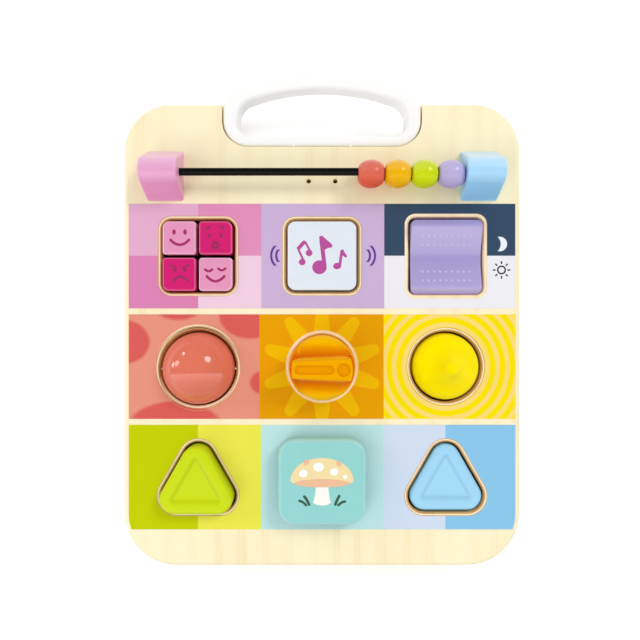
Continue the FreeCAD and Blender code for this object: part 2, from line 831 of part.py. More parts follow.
def make_holder(name, middle, sign):
    """A block with a round crown and straight flanks that lean in, tangent to it."""
    body = new_body(name, middle, RAIL_Y, FACE)
    foot = "(holder_width / 2)"
    reach = f"sqrt({foot}^2 + holder_centre^2)"
    lean = f"(180 deg - atan(holder_centre / {foot}) - asin(holder_crown / {reach}))"
    tangent = f"sqrt({reach}^2 - holder_crown^2)"
    side, rise = f"({foot} + {tangent} * cos({lean}))", f"({tangent} * sin({lean}))"
    profile = new_sketch(body, f"{name}_profile", "-holder_length / 2", "YZ_Plane")
    add_outline(profile, [
        (f"-{foot}", "0"), (foot, "0"), (side, rise, "holder_crown"),
        ("0", "holder_centre + holder_crown", "holder_crown"), (f"-{side}", rise),
    ])
    block = pad(body, profile, "holder_length")
    half = number("holder_length / 2")

    def end_edge(edge):
        box = edge.BoundBox
        return box.XLength < 1e-3 and abs(abs(box.XMax) - half) < 1e-3 and box.ZMax > 1e-3

    fillet(body, block, "holder_round", end_edge)
    peg = new_sketch(body, f"{name}_peg", "0")
    add_circle(peg, "0", "0", "peg_radius")
    pad(body, peg, "peg_length", downward=True)
    inner_face = "-holder_length / 2" if sign == "" else "holder_length / 2"
    seat = new_sketch(body, f"{name}_seat", inner_face, "YZ_Plane")
    add_circle(seat, "0", "rail_height", "rod_radius")
    pocket(body, seat, "rod_seat", upward=sign == "")


def make_bead(name, x, height):
    """A barrel of three arcs, tangent to each other, with a bore that runs loosely on the rod."""
    body = new_body(name, x, RAIL_Y, height)
    body.Placement.Rotation = FreeCAD.Rotation(Vector(0, 1, 0), 90)
    profile = new_sketch(body, f"{name}_profile", "0", "XZ_Plane")
    bore, half = "(rod_radius + bead_clearance)", "(bead_length / 2)"
    reach, rise = "(bead_crown - bead_corner)", f"({half} - bead_corner)"
    out = f"sqrt({reach}^2 - {rise}^2)"
    end = f"(bead_radius - bead_crown + {out})"
    meet = f"(bead_radius - bead_crown + {out} * bead_crown / {reach})"
    level = f"({rise} * bead_crown / {reach})"
    add_outline(profile, [
        (bore, f"-{half}"), (end, f"-{half}", "bead_corner"), (meet, f"-{level}", "bead_crown"),
        (meet, level, "bead_corner"), (end, half), (bore, half),
    ])
    revolve(body, profile)


def make_tray(name, column, row, floor_low="back_thickness"):
    """An open-topped moulded tray that fills its bay and is clamped between the two panels."""
    body = new_body(name, COLUMNS[column], ROWS[row])
    outside = new_sketch(body, f"{name}_outside", "back_thickness")
    corner = "(bay_corner - bay_clearance)"
    add_rounded(outside, "0", "0", TRAY, TRAY, corner)
    pad(body, outside, "core_depth")
    hollow = new_sketch(body, f"{name}_hollow", UNDER)
    inside = f"({TRAY} - 2 * tray_wall)"
    add_rounded(hollow, "0", "0", inside, inside, f"({corner} - tray_wall)")
    pocket(body, hollow, f"{UNDER} - {floor_low} - tray_floor")
    if floor_low != "back_thickness":
        below = new_sketch(body, f"{name}_underside", "back_thickness")
        add_rounded(below, "0", "0", inside, inside, f"({corner} - tray_wall)")
        pocket(body, below, f"{floor_low} - back_thickness", upward=True)
    return body


def make_keys():
    """Four face keys, each on a stem in a boss of the tray, over a silicone dome that lifts it."""
    tray = make_tray("keys_tray", "left", "top")
    step = "((key_width + key_gap) / 2)"
    bosses = new_sketch(tray, "key_bosses", FLOOR_TOP)
    bores = new_sketch(tray, "key_bores", f"{FLOOR_TOP} + boss_height")
    for across in ("-", ""):
        for up in ("-", ""):
            place = (f"{across}{step}", f"{up}{step}")
            add_circle(bosses, *place, "stem_radius + stem_clearance + boss_wall")
            add_circle(bores, *place, "stem_radius + stem_clearance")
    pad(tray, bosses, "boss_height")
    pocket(tray, bores, "boss_height")
    make_key("smile", -1, 1)
    make_key("surprise", 1, 1)
    make_key("angry", -1, -1)
    make_key("calm", 1, -1)


def make_key(name, across, up):
    """One key: a hollow cap with a large outer corner, a retaining lip and a stepped stem."""
    step = "((key_width + key_gap) / 2)"
    x, y = f"{COLUMNS['left']} + {across} * {step}", f"{ROWS['top']} + {up} * {step}"
    body = new_body(f"key_{name}", x, y)
    corners = {(1, -1): 0, (1, 1): 1, (-1, 1): 2, (-1, -1): 3}
    radii = ["key_inner_corner"] * 4
    radii[corners[across, up]] = "key_outer_corner"
    cap = new_sketch(body, f"{name}_cap", LIP_LOW)
    add_rounded(cap, "0", "0", "key_width", "key_width", tuple(radii))
    raised = pad(body, cap, f"{FACE} + key_proud - {LIP_LOW}")
    fillet(body, raised, "button_round", lambda edge: lies_at(edge, f"{FACE} + key_proud"))
    lip = new_sketch(body, f"{name}_lip", LIP_LOW)
    shift = "(key_rim_gap + lip_overlap)"
    add_rounded(lip, f"{across} * {shift}", f"{up} * {shift}", "key_width", "key_width", tuple(radii))
    pad(body, lip, "lip_thickness")
    hollow = new_sketch(body, f"{name}_hollow", LIP_LOW)
    inside = "(key_width - 2 * button_wall)"
    add_rectangle(hollow, "0", "0", inside, inside)
    ceiling = f"({FACE} + key_proud - button_top)"
    pocket(body, hollow, f"{ceiling} - {LIP_LOW}", upward=True)
    shoulder = new_sketch(body, f"{name}_shoulder", f"{LIP_LOW} + stem_shoulder_rise")
    add_circle(shoulder, "0", "0", "stem_shoulder_radius")
    pad(body, shoulder, f"{ceiling} - {LIP_LOW} - stem_shoulder_rise")
    stem = new_sketch(body, f"{name}_stem", f"{LIP_LOW} + stem_shoulder_rise")
    add_circle(stem, "0", "0", "stem_radius")
    pad(body, stem, "stem_shoulder_rise + stem_reach", downward=True)
    make_dome(name, x, y)


def make_dome(name, x, y):
    """A silicone dome between a boss of the tray and the shoulder of the key's stem."""
    low = f"({FLOOR_TOP} + boss_height)"
    body = new_body(f"key_dome_{name}", x, y, low)
    rise = f"({LIP_LOW} + stem_shoulder_rise - {low} - dome_seat)"
    profile = new_sketch(body, f"{name}_dome", "0", "XZ_Plane")
    bore = "(stem_radius + 2 * stem_clearance)"
    wide = "(stem_radius + stem_clearance + boss_wall)"
    add_outline(profile, [
        (f"{wide} - dome_wall", "0"), (wide, "0"), (f"{bore} + dome_wall", rise), (bore, rise),
    ])
    revolve(body, profile)


def make_bulb(name, column, row, low, high, radius):
    """A pleated rubber squeaker bulb, closed at the top and open at its foot round the reed."""
    body = new_body(name, COLUMNS[column], ROWS[row])
    profile = new_sketch(body, f"{name}_profile", "0", "XZ_Plane")
    step = f"(({high} - {low}) / (2 * {BULB_PLEATS}))"
    folds = range(2 * BULB_PLEATS + 1)
    outside = [(f"{radius} - bulb_pleat * {n % 2}", f"{low} + {n} * {step}") for n in folds]
    inside = [(f"{x} - bulb_wall", z) for x, z in outside[:-1]]
    outside[-1] = (radius, high)
    inside.append((f"{radius} - bulb_pleat - bulb_wall", f"{high} - bulb_roof"))
    add_outline(profile, [*outside, ("0", high), ("0", f"{high} - bulb_roof"), *inside[::-1]])
    revolve(body, profile)


def make_reed(name, column, row, low, plate):
    """A small flanged reed pressed into the plate under a bulb."""
    body = new_body(name, COLUMNS[column], ROWS[row], low)
    profile = new_sketch(body, f"{name}_profile", "0", "XZ_Plane")
    add_outline(profile, [
        ("reed_bore", "0"), ("reed_radius", "0"), ("reed_radius", plate),
        ("reed_radius + reed_flange", plate), ("reed_radius + reed_flange", f"{plate} + reed_rise"),
        ("reed_bore", f"{plate} + reed_rise"),
    ])
    revolve(body, profile)


def make_music_button():
    """The white button over a squeaker bulb, held in by a lip under the panel."""
    tray = make_tray("music_tray", "centre", "top")
    seat = new_sketch(tray, "music_reed_hole", FLOOR_TOP)
    add_circle(seat, "0", "0", "reed_radius")
    pocket(tray, seat, "tray_floor")
    slot = new_sketch(tray, "music_sound_slot", UNDER)
    add_rectangle(slot, "0", f"{TRAY} / 2", "sound_channel_width", "4 * tray_wall")
    pocket(tray, slot, "core_depth / 2")
    body = new_body("music_button", COLUMNS["centre"], ROWS["top"])
    top = f"({FACE} + music_proud)"
    cap = new_sketch(body, "music_cap", LIP_LOW)
    add_rounded(cap, "0", "0", "music_width", "music_width", "music_corner")
    raised = pad(body, cap, f"{top} - {LIP_LOW}")
    fillet(body, raised, "button_round", lambda edge: lies_at(edge, top))
    lip = new_sketch(body, "music_lip", LIP_LOW)
    width = "(music_width + 2 * music_rim_gap + 2 * lip_overlap)"
    add_rounded(lip, "0", "0", width, width, "(music_corner + music_rim_gap)")
    pad(body, lip, "lip_thickness")
    hollow = new_sketch(body, "music_hollow", LIP_LOW)
    inside = "(music_width - 2 * button_wall)"
    add_rounded(hollow, "0", "0", inside, inside, "(music_corner - button_wall)")
    pocket(body, hollow, f"{top} - button_top - {LIP_LOW}", upward=True)
    bulb_top = f"({top} - button_top - bulb_seat)"
    make_bulb("music_bulb", "centre", "top", FLOOR_TOP, bulb_top, "music_bulb_radius")
    make_reed("music_reed", "centre", "top", "back_thickness", "tray_floor")


def make_rocker():
    """The lilac rocker with its V-shaped face, on a pin through the tray, with its lower end pressed in."""
    tray = make_tray("rocker_tray", "right", "top")
    pivot = f"({UNDER} - rocker_pivot_drop)"
    bores = new_sketch(tray, "rocker_pin_holes", f"-{TRAY} / 2", "YZ_Plane")
    add_circle(bores, "0", pivot, "rocker_pin_radius")
    pocket(tray, bores, TRAY, upward=True)
    pin = cylinder(
        "rocker_axis", "rocker_pin_radius", TRAY,
        f"{COLUMNS['right']} - {TRAY} / 2", ROWS["top"], pivot, Vector(1, 0, 0)
    )
    as_node(pin, "rocker_pin")
    body = new_body("rocker", COLUMNS["right"], ROWS["top"], pivot)
    body.Placement.Rotation = FreeCAD.Rotation(Vector(1, 0, 0), number("rocker_tilt"))
    bind(body, "Placement.Rotation.Angle", "rocker_tilt")
    half, width = "(rocker_length / 2)", "rocker_width"
    crest = f"({FACE} + rocker_crest - {pivot})"
    crest_y = f"({half} - rocker_bevel_length)"
    slope = f"atan(rocker_valley / {crest_y})"
    bend_y = f"(rocker_valley_radius * sin({slope}))"
    bend_z = f"({crest} - rocker_valley + {bend_y} * tan({slope}))"
    plan = new_sketch(body, "rocker_plan", "-rocker_skirt")
    add_rounded(plan, "0", "0", width, "rocker_length", "rocker_corner")
    pad(body, plan, f"{crest} + rocker_skirt + 1")
    profile = new_sketch(body, "rocker_profile", f"-{width} / 2 - 1", "YZ_Plane")
    add_outline(profile, [
        (f"{half} + 1", f"{crest} + 2"), (f"-{half} - 1", f"{crest} + 2"),
        (f"-{half} - 1", f"{crest} - rocker_bevel_drop * (1 + 1 / rocker_bevel_length)"),
        (f"-{crest_y}", crest),
        (f"-{bend_y}", bend_z, "rocker_valley_radius"), (bend_y, bend_z), (crest_y, crest),
        (f"{half} + 1", f"{crest} - rocker_bevel_drop * (1 + 1 / rocker_bevel_length)"),
    ])
    shaped = pocket(body, profile, f"{width} + 2", upward=True)
    level = number(f"{crest} - rocker_bevel_drop") - 0.1

    def upper(edge):
        smooth = edge.BoundBox.XLength > number(width) - 1 and abs(edge.BoundBox.YMin) < number(bend_y) + 0.1
        return edge.BoundBox.ZMin > level and not smooth

    fillet(body, shaped, "rocker_round", upper)
    hollow = new_sketch(body, "rocker_hollow", "-rocker_skirt")
    across, along = f"{width} - 2 * rocker_wall", f"{half} * 2 - 2 * rocker_wall"
    add_rounded(hollow, "0", "0", across, along, "(rocker_corner - rocker_wall)")
    roof = f"({crest} - rocker_valley - rocker_roof)"
    pocket(body, hollow, f"{roof} + rocker_skirt", upward=True)
    tongue = new_sketch(body, "rocker_tongue", f"{roof} + 1")
    add_rectangle(tongue, "0", "0", "click_tongue_width", "click_tongue_thickness")
    pad(body, tongue, f"{roof} + 1 + click_tongue_reach", downward=True)
    bore = new_sketch(body, "rocker_bore", f"-{width} / 2", "YZ_Plane")
    add_circle(bore, "0", "0", "rocker_pin_radius + pin_clearance")
    pocket(body, bore, width, upward=True)
    make_click_strip(pivot)


def make_click_strip(pivot):
    """A bent steel strip on the tray's floor, whose crest the rocker's tongue clicks over."""
    body = new_body("rocker_click_spring", COLUMNS["right"], ROWS["top"])
    crest = f"({pivot} - click_tongue_reach - click_gap)"
    low, strip = FLOOR_TOP, "click_strip"
    profile = new_sketch(body, "click_profile", "-click_tongue_width / 2", "YZ_Plane")
    add_outline(profile, [
        ("-click_foot", low), (f"-click_ramp + {strip}", low),
        (f"-click_crest + {strip}", f"{crest} - {strip}"), (f"click_crest - {strip}", f"{crest} - {strip}"),
        (f"click_ramp - {strip}", low), ("click_foot", low),
        ("click_foot", f"{low} + {strip}"), ("click_ramp", f"{low} + {strip}"), ("click_crest", crest),
        ("-click_crest", crest), ("-click_ramp", f"{low} + {strip}"), ("-click_foot", f"{low} + {strip}"),
    ])
    pad(body, profile, "click_tongue_width")


def make_ball():
    """The rolling ball: two half shells pressed on an axle that runs in two bearings of the tray."""
    height = f"({FACE} - ball_sink)"
    tray = make_tray("ball_tray", "left", "middle")
    clear = new_sketch(tray, "ball_clearance", FLOOR_TOP)
    add_circle(clear, "0", "-ball_shift", "ball_floor_radius")
    pocket(tray, clear, "tray_floor")
    inner = "(ball_radius + ball_rim_gap + bearing_gap)"
    thick = f"({TRAY} / 2 - {inner})"
    posts = new_sketch(tray, "bearing_posts", "back_thickness")
    for sign in ("-", ""):
        add_rectangle(posts, f"{sign}({inner} + {thick} / 2)", "-ball_shift", thick, "bearing_width")
    pad(tray, posts, f"{height} - back_thickness")
    seats = new_sketch(tray, "axle_seats", f"-{TRAY} / 2", "YZ_Plane")
    add_circle(seats, "-ball_shift", height, "axle_radius + axle_clearance")
    pocket(tray, seats, TRAY, upward=True)
    for side, sign in (("front", ""), ("rear", "-")):
        body = new_body(f"ball_{side}_shell", COLUMNS["left"], BALL_Y, height)
        profile = new_sketch(body, f"ball_{side}_profile", "0", "XZ_Plane")
        inside = "(ball_radius - ball_wall)"
        add_outline(profile, [
            (inside, "0"), ("ball_radius", "0", f"{sign}ball_radius"), ("0", f"{sign}ball_radius"),
            ("0", f"{sign}{inside}", f"-({sign}{inside})"),
        ])
        revolve(body, profile)
        bore = new_sketch(body, f"ball_{side}_bore", "-ball_radius", "YZ_Plane")
        add_circle(bore, "0", "0", "axle_radius")
        pocket(body, bore, "2 * ball_radius", upward=True)
    reach = f"({TRAY} / 2 - bearing_gap)"
    axle = cylinder(
        "axle", "axle_radius", f"2 * {reach}", f"{COLUMNS['left']} - {reach}", BALL_Y, height, Vector(1, 0, 0)
    )
    as_node(axle, "ball_axle")


def make_knob():
    """The knob: a tall cap with two scoops that leave a tapered grip, on a shaft with a click wheel."""
    shelf = "(back_thickness + knob_shelf)"
    shelf_top = f"({shelf} + tray_floor)"
    tray = make_tray("knob_tray", "centre", "middle", shelf)
    boss = new_sketch(tray, "knob_boss", shelf_top)
    add_circle(boss, "0", "0", "knob_shaft_radius + stem_clearance / 2 + boss_wall")
    pad(tray, boss, "knob_boss_height")
    bore = new_sketch(tray, "knob_bore", f"{shelf_top} + knob_boss_height")
    add_circle(bore, "0", "0", "knob_shaft_radius + stem_clearance / 2")
    pocket(tray, bore, "knob_boss_height + tray_floor")
    low, rim, top = f"({FACE} - knob_skirt)", f"({FACE} + knob_rim_height)", f"({FACE} + grip_height)"
    foot = f"({shelf} - lip_gap)"
    body = new_body("knob", COLUMNS["centre"], ROWS["middle"])
    outside = new_sketch(body, "knob_outside", low)
    add_circle(outside, "0", "0", "knob_radius")
    pad(body, outside, f"{top} - {low}")
    scoops = new_sketch(body, "knob_scoops", top)
    half, far = "(grip_narrow / 2)", "(knob_radius + 1)"
    wide = "(grip_wide / 2)"
    left = f"-{far}"
    add_outline(scoops, [(left, half), (far, wide), (far, far), (left, far)])
    add_outline(scoops, [(left, left), (far, left), (far, f"-{wide}"), (left, f"-{half}")])
    cut = pocket(body, scoops, f"{top} - {rim}")
    long_edge = number("knob_radius")
    fillet(body, cut, "grip_scoop", lambda edge: lies_at(edge, rim) and edge.Length > long_edge)
    crown = new_sketch(body, "knob_crown", "0", "XZ_Plane")
    start = "(knob_radius - knob_round)"
    end = "(grip_length / 2)"
    arc_top = f"({rim} - knob_round + sqrt(knob_round^2 - ({end} - {start})^2))"
    add_outline(crown, [
        ("knob_radius", f"{rim} - knob_round", "knob_round"), (end, arc_top), (end, f"{top} + 1"),
        ("knob_radius + 1", f"{top} + 1"), ("knob_radius + 1", f"{rim} - knob_round"),
    ])
    revolve(body, crown, cut=True)
    doc.recompute()
    fillet(body, body.Tip, "grip_round", lambda edge: lies_at(edge, top))
    add_knob_details(body, low, rim, top, foot)
    wheel_low = f"({shelf_top} + knob_boss_height + click_wheel_gap)"
    make_click_wheel(wheel_low)
    make_pawl(shelf_top, wheel_low)
    washer = new_body("knob_washer", COLUMNS["centre"], ROWS["middle"], f"{foot} - washer_thickness")
    ring = new_sketch(washer, "washer_ring", "0")
    add_circle(ring, "0", "0", "washer_radius")
    add_circle(ring, "0", "0", "knob_screw_shank")
    pad(washer, ring, "washer_thickness")
    screw = new_body("knob_screw", COLUMNS["centre"], ROWS["middle"], f"{foot} - washer_thickness")
    head = new_sketch(screw, "knob_screw_head_outline", "0")
    add_circle(head, "0", "0", "knob_screw_head")
    pad(screw, head, "knob_screw_rise", downward=True)
    shank = new_sketch(screw, "knob_screw_shank_outline", "0")
    add_circle(shank, "0", "0", "knob_screw_shank")
    pad(screw, shank, "knob_screw_length + washer_thickness")


def add_knob_details(body, low, rim, top, foot):
    """The groove and the dimple in the grip, and the hollow underside with its shaft."""
    groove = new_sketch(body, "knob_groove", top)
    reach = "(knob_groove_length / 2 - knob_groove_width / 2)"
    round_end = "knob_groove_width / 2"
    middle = "-knob_groove_shift"
    add_outline(groove, [
        (f"{middle} - {reach}", f"-{round_end}"), (f"{middle} + {reach}", f"-{round_end}", round_end),
        (f"{middle} + {reach} + {round_end}", "0", round_end), (f"{middle} + {reach}", round_end),
        (f"{middle} - {reach}", round_end, round_end), (f"{middle} - {reach} - {round_end}", "0", round_end),
    ])
    pocket(body, groove, "knob_groove_depth")
    dimple = new_sketch(body, "knob_dimple", top)
    add_circle(dimple, "knob_dimple_x", "0", "knob_dimple_radius")
    pocket(body, dimple, "knob_groove_depth")
    hollow = new_sketch(body, "knob_hollow", low)
    add_circle(hollow, "0", "0", "knob_radius - knob_wall")
    pocket(body, hollow, f"{rim} - knob_roof - {low}", upward=True)
    shaft = new_sketch(body, "knob_shaft", foot)
    add_circle(shaft, "0", "0", "knob_shaft_radius")
    pad(body, shaft, f"{rim} - knob_roof - {foot} + 1")
    pilot = new_sketch(body, "knob_pilot", foot)
    add_circle(pilot, "0", "0", "knob_screw_shank")
    pocket(body, pilot, "knob_screw_length + 1", upward=True)


def make_click_wheel(low):
    """The notched wheel pressed on the knob's shaft."""
    body = new_body("knob_click_wheel", COLUMNS["centre"], ROWS["middle"], low)
    disc = new_sketch(body, "wheel_disc", "0")
    add_circle(disc, "0", "0", "click_wheel_radius")
    add_circle(disc, "0", "0", "knob_shaft_radius")
    pad(body, disc, "click_wheel_thickness")
    notch = new_sketch(body, "wheel_notch", "click_wheel_thickness")
    add_circle(notch, "0", "click_wheel_radius + click_notch_radius / 4", "click_notch_radius")
    cut = pocket(body, notch, "click_wheel_thickness")
    ring = body.newObject("PartDesign::PolarPattern", "wheel_notches")
    ring.Originals = [cut]
    ring.Axis = (notch, ["N_Axis"])
    ring.Angle = 360
    bind(ring, "Occurrences", "click_notches")
    body.Tip = ring


def make_pawl(shelf_top, low):
    """The springy arm on two posts, with a nose that rests in one notch of the wheel."""
    body = new_body("knob_click_spring", COLUMNS["centre"], ROWS["middle"])
    nose_y = "(click_wheel_radius + click_notch_radius / 4)"
    arm_y = f"({nose_y} + pawl_reach)"
    half = "(pawl_span / 2)"
    arm = new_sketch(body, "pawl_arm_outline", low)
    add_outline(arm, [
        (f"-{half}", arm_y), ("-pawl_nose", arm_y), ("-pawl_nose", nose_y, "pawl_nose"),
        ("0", f"{nose_y} - pawl_nose", "pawl_nose"), ("pawl_nose", nose_y), ("pawl_nose", arm_y),
        (half, arm_y), (half, f"{arm_y} + pawl_arm"), (f"-{half}", f"{arm_y} + pawl_arm"),
    ])
    pad(body, arm, "click_wheel_thickness")
    posts = new_sketch(body, "pawl_posts", shelf_top)
    for sign in ("-", ""):
        place = (f"{sign}({half} + pawl_post / 2 - 0.5)", f"{arm_y} + pawl_arm / 2")
        add_rectangle(posts, *place, "pawl_post", "pawl_post")
    pad(body, posts, f"{low} + click_wheel_thickness - {shelf_top}")


def make_joystick():
    """The drop-shaped joystick on a gimbal: a cross between two ears of the post and two lugs."""
    pivot = f"({FACE} - joystick_pivot_drop)"
    tray = make_tray("joystick_tray", "right", "middle")
    post_top = f"({pivot} - post_drop)"
    inner = "(cross_size / 2 + cross_gap)"
    outer = f"({inner} + ear_thickness)"
    post = new_sketch(tray, "joystick_post", FLOOR_TOP)
    add_circle(post, "0", "0", "post_radius")
    pad(tray, post, f"{post_top} - {FLOOR_TOP}")
    yoke = new_sketch(tray, "joystick_yoke", post_top)
    add_rectangle(yoke, "0", "0", f"2 * {outer}", "ear_width")
    pad(tray, yoke, "yoke_height", downward=True)
    ears = new_sketch(tray, "joystick_ears", post_top)
    for sign in ("-", ""):
        add_rectangle(ears, f"{sign}({inner} + ear_thickness / 2)", "0", "ear_thickness", "ear_width")
    pad(tray, ears, "post_drop + ear_rise")
    bores = new_sketch(tray, "ear_bores", f"-{outer}", "YZ_Plane")
    add_circle(bores, "0", pivot, "trunnion_radius + pin_clearance")
    pocket(tray, bores, f"2 * {outer}", upward=True)
    place = (COLUMNS["right"], ROWS["middle"], pivot)
    cross = new_body("joystick_cross", *place)
    block = new_sketch(cross, "cross_block", "-cross_size / 2")
    add_rectangle(block, "0", "0", "cross_size", "cross_size")
    pad(cross, block, "cross_size")
    start = "-cross_size / 2 - trunnion_length"
    for plane in ("YZ_Plane", "XZ_Plane"):
        pins = new_sketch(cross, f"cross_pins_{plane[:2].lower()}", start, plane)
        add_circle(pins, "0", "0", "trunnion_radius")
        pad(cross, pins, "cross_size + 2 * trunnion_length")
    make_joystick_cap(place, inner, outer)
    boot = new_body("joystick_boot", COLUMNS["right"], ROWS["middle"])
    skirt = new_sketch(boot, "boot_profile", "0", "XZ_Plane")
    rise = f"({pivot} - joystick_skirt - boot_gap)"
    add_outline(skirt, [
        ("boot_foot_radius - boot_wall", FLOOR_TOP), ("boot_foot_radius", FLOOR_TOP),
        ("boot_lip_radius", rise), ("boot_lip_radius - boot_wall", rise),
    ])
    revolve(boot, skirt)


def make_joystick_cap(place, inner, outer):
    """The joystick itself, turned round its pivot, with two lugs that hang from its roof."""
    body = new_body("joystick", *place)
    ball = "sqrt(joystick_radius^2 + joystick_pivot_drop^2)"
    foot = f"sqrt({ball}^2 - joystick_skirt^2)"
    inside = f"({foot} - joystick_wall)"
    profile = new_sketch(body, "joystick_profile", "0", "XZ_Plane")
    drop = "joystick_pivot_drop"
    tip_rise = "(joystick_height - joystick_neck_rise)"
    tip = f"((joystick_neck_radius^2 + {tip_rise}^2) / (2 * {tip_rise}))"
    add_outline(profile, [
        (inside, "-joystick_skirt"), (foot, "-joystick_skirt", ball),
        ("joystick_radius", drop, "joystick_shoulder_bend"),
        ("joystick_shoulder_radius", f"{drop} + joystick_shoulder_rise", "-joystick_neck_bend"),
        ("joystick_neck_radius", f"{drop} + joystick_neck_rise", tip),
        ("0", f"{drop} + joystick_height"), ("0", "joystick_roof"),
        (f"{inside} - joystick_roof + 3", "joystick_roof", "-(joystick_roof - 3)"), (inside, "3"),
    ])
    revolve(body, profile)
    lugs = new_sketch(body, "joystick_lugs", "-ear_rise")
    for sign in ("-", ""):
        add_rectangle(lugs, "0", f"{sign}({inner} + ear_thickness / 2)", "ear_width", "ear_thickness")
    pad(body, lugs, "ear_rise + joystick_roof + 1")
    bores = new_sketch(body, "lug_bores", f"-{outer}", "XZ_Plane")
    add_circle(bores, "0", "0", "trunnion_radius + pin_clearance")
    pocket(body, bores, f"2 * {outer}", upward=True)


def make_triangles():
    """Two triangle buttons, one up and one down, each on a stem in a guide frame."""
    make_guide("green_guide", "left", 1)
    make_guide("blue_guide", "right", -1)
    make_triangle("green_triangle", "left", "triangle_travel")
    make_triangle("blue_triangle", "right", "0")


def make_guide(name, column, beam_side):
    """A plate on four posts with a bored tube for the stem and a slot for the see-saw's beam."""
    body = new_body(name, COLUMNS[column], ROWS["bottom"])
    plate = new_sketch(body, f"{name}_plate", "guide_plate_low")
    add_rounded(plate, "0", "0", TRAY, TRAY, "(bay_corner - bay_clearance)")
    pad(body, plate, "guide_plate")
    posts = new_sketch(body, f"{name}_posts", "back_thickness")
    place = f"({TRAY} / 2 - guide_leg / 2 - guide_leg_inset)"
    for across in ("-", ""):
        for up in ("-", ""):
            add_rectangle(posts, f"{across}{place}", f"{up}{place}", "guide_leg", "guide_leg")
    pad(body, posts, "core_depth")
    tube = new_sketch(body, f"{name}_tube", "guide_plate_low")
    add_circle(tube, "0", "0", "plunger_radius + pin_clearance + boss_wall")
    pad(body, tube, "guide_tube_top - guide_plate_low")
    bore = new_sketch(body, f"{name}_bore", "guide_tube_top")
    add_circle(bore, "0", "0", "plunger_radius + pin_clearance")
    pocket(body, bore, "guide_tube_top - guide_plate_low")
    slot = new_sketch(body, f"{name}_slot", "guide_slot_top")
    half = f"({TRAY} / 2)"
    add_rectangle(slot, f"{beam_side} * {half} / 2", "0", half, "guide_slot")
    pocket(body, slot, "guide_slot_top - guide_plate_low")


def make_triangle(name, column, raised):
    """A hollow button with a round-cornered triangular outline and a stem for the beam's nose."""
    height = f"{FACE} + triangle_up - triangle_travel + {raised}"
    body = new_body(name, COLUMNS[column], ROWS["bottom"], height)
    outside = new_sketch(body, f"{name}_outside", "-triangle_body")
    add_triangle(outside, "0", "0", "0")
    block = pad(body, outside, "triangle_body")
    fillet(body, block, "triangle_round", lambda edge: lies_at(edge, "0"))
    hollow = new_sketch(body, f"{name}_hollow", "-triangle_body")
    add_triangle(hollow, "0", "0", "-triangle_wall")
    pocket(body, hollow, "triangle_body - triangle_roof", upward=True)
    facet = new_sketch(body, f"{name}_facet", "0")
    add_triangle(facet, "0", "0", "-triangle_facet_inset")
    pocket(body, facet, "triangle_facet_depth")
    nose = f"(seesaw_pivot - triangle_travel / 2 - {FACE} - triangle_up + triangle_travel)"
    stem = new_sketch(body, f"{name}_stem", "-triangle_roof")
    add_circle(stem, "0", "0", "plunger_radius")
    pad(body, stem, f"-triangle_roof - {nose} + plunger_foot", downward=True)
    slot = new_sketch(body, f"{name}_slot", "-plunger_radius", "YZ_Plane")
    add_rectangle(slot, "0", nose, "beam_width + 2 * nose_clearance", "2 * nose_radius + 2 * nose_clearance")
    pocket(body, slot, "2 * plunger_radius", upward=True)


def make_seesaw():
    """The beam that lifts one triangle while the other goes down, and its pin."""
    body = new_body("seesaw_beam", COLUMNS["centre"], ROWS["bottom"], "seesaw_pivot")
    tilt = f"asin(triangle_travel / 2 / {PITCH})"
    body.Placement.Rotation = FreeCAD.Rotation(Vector(0, 1, 0), number(tilt))
    bind(body, "Placement.Rotation.Angle", tilt)
    half = "(-beam_width / 2)"
    bar = new_sketch(body, "beam_bar", half, "XZ_Plane")
    add_outline(bar, [
        (f"-{PITCH}", "-beam_end / 2"), ("0", "-beam_middle / 2"), (PITCH, "-beam_end / 2"),
        (PITCH, "beam_end / 2"), ("0", "beam_middle / 2"), (f"-{PITCH}", "beam_end / 2"),
    ])
    pad(body, bar, "beam_width")
    ends = new_sketch(body, "beam_ends", half, "XZ_Plane")
    add_circle(ends, f"-{PITCH}", "0", "nose_radius")
    add_circle(ends, "0", "0", "beam_hub")
    add_circle(ends, PITCH, "0", "nose_radius")
    pad(body, ends, "beam_width")
    bore = new_sketch(body, "beam_bore", half, "XZ_Plane")
    add_circle(bore, "0", "0", "beam_pin_radius + pin_clearance")
    pocket(body, bore, "beam_width", upward=True)
    reach = "(beam_width / 2 + pin_ear_gap + ear_thickness)"
    pin = cylinder(
        "beam_pin", "beam_pin_radius", f"2 * {reach}", "0", f"{ROWS['bottom']} - {reach}", "seesaw_pivot",
        Vector(0, 1, 0)
    )
    as_node(pin, "seesaw_pin")


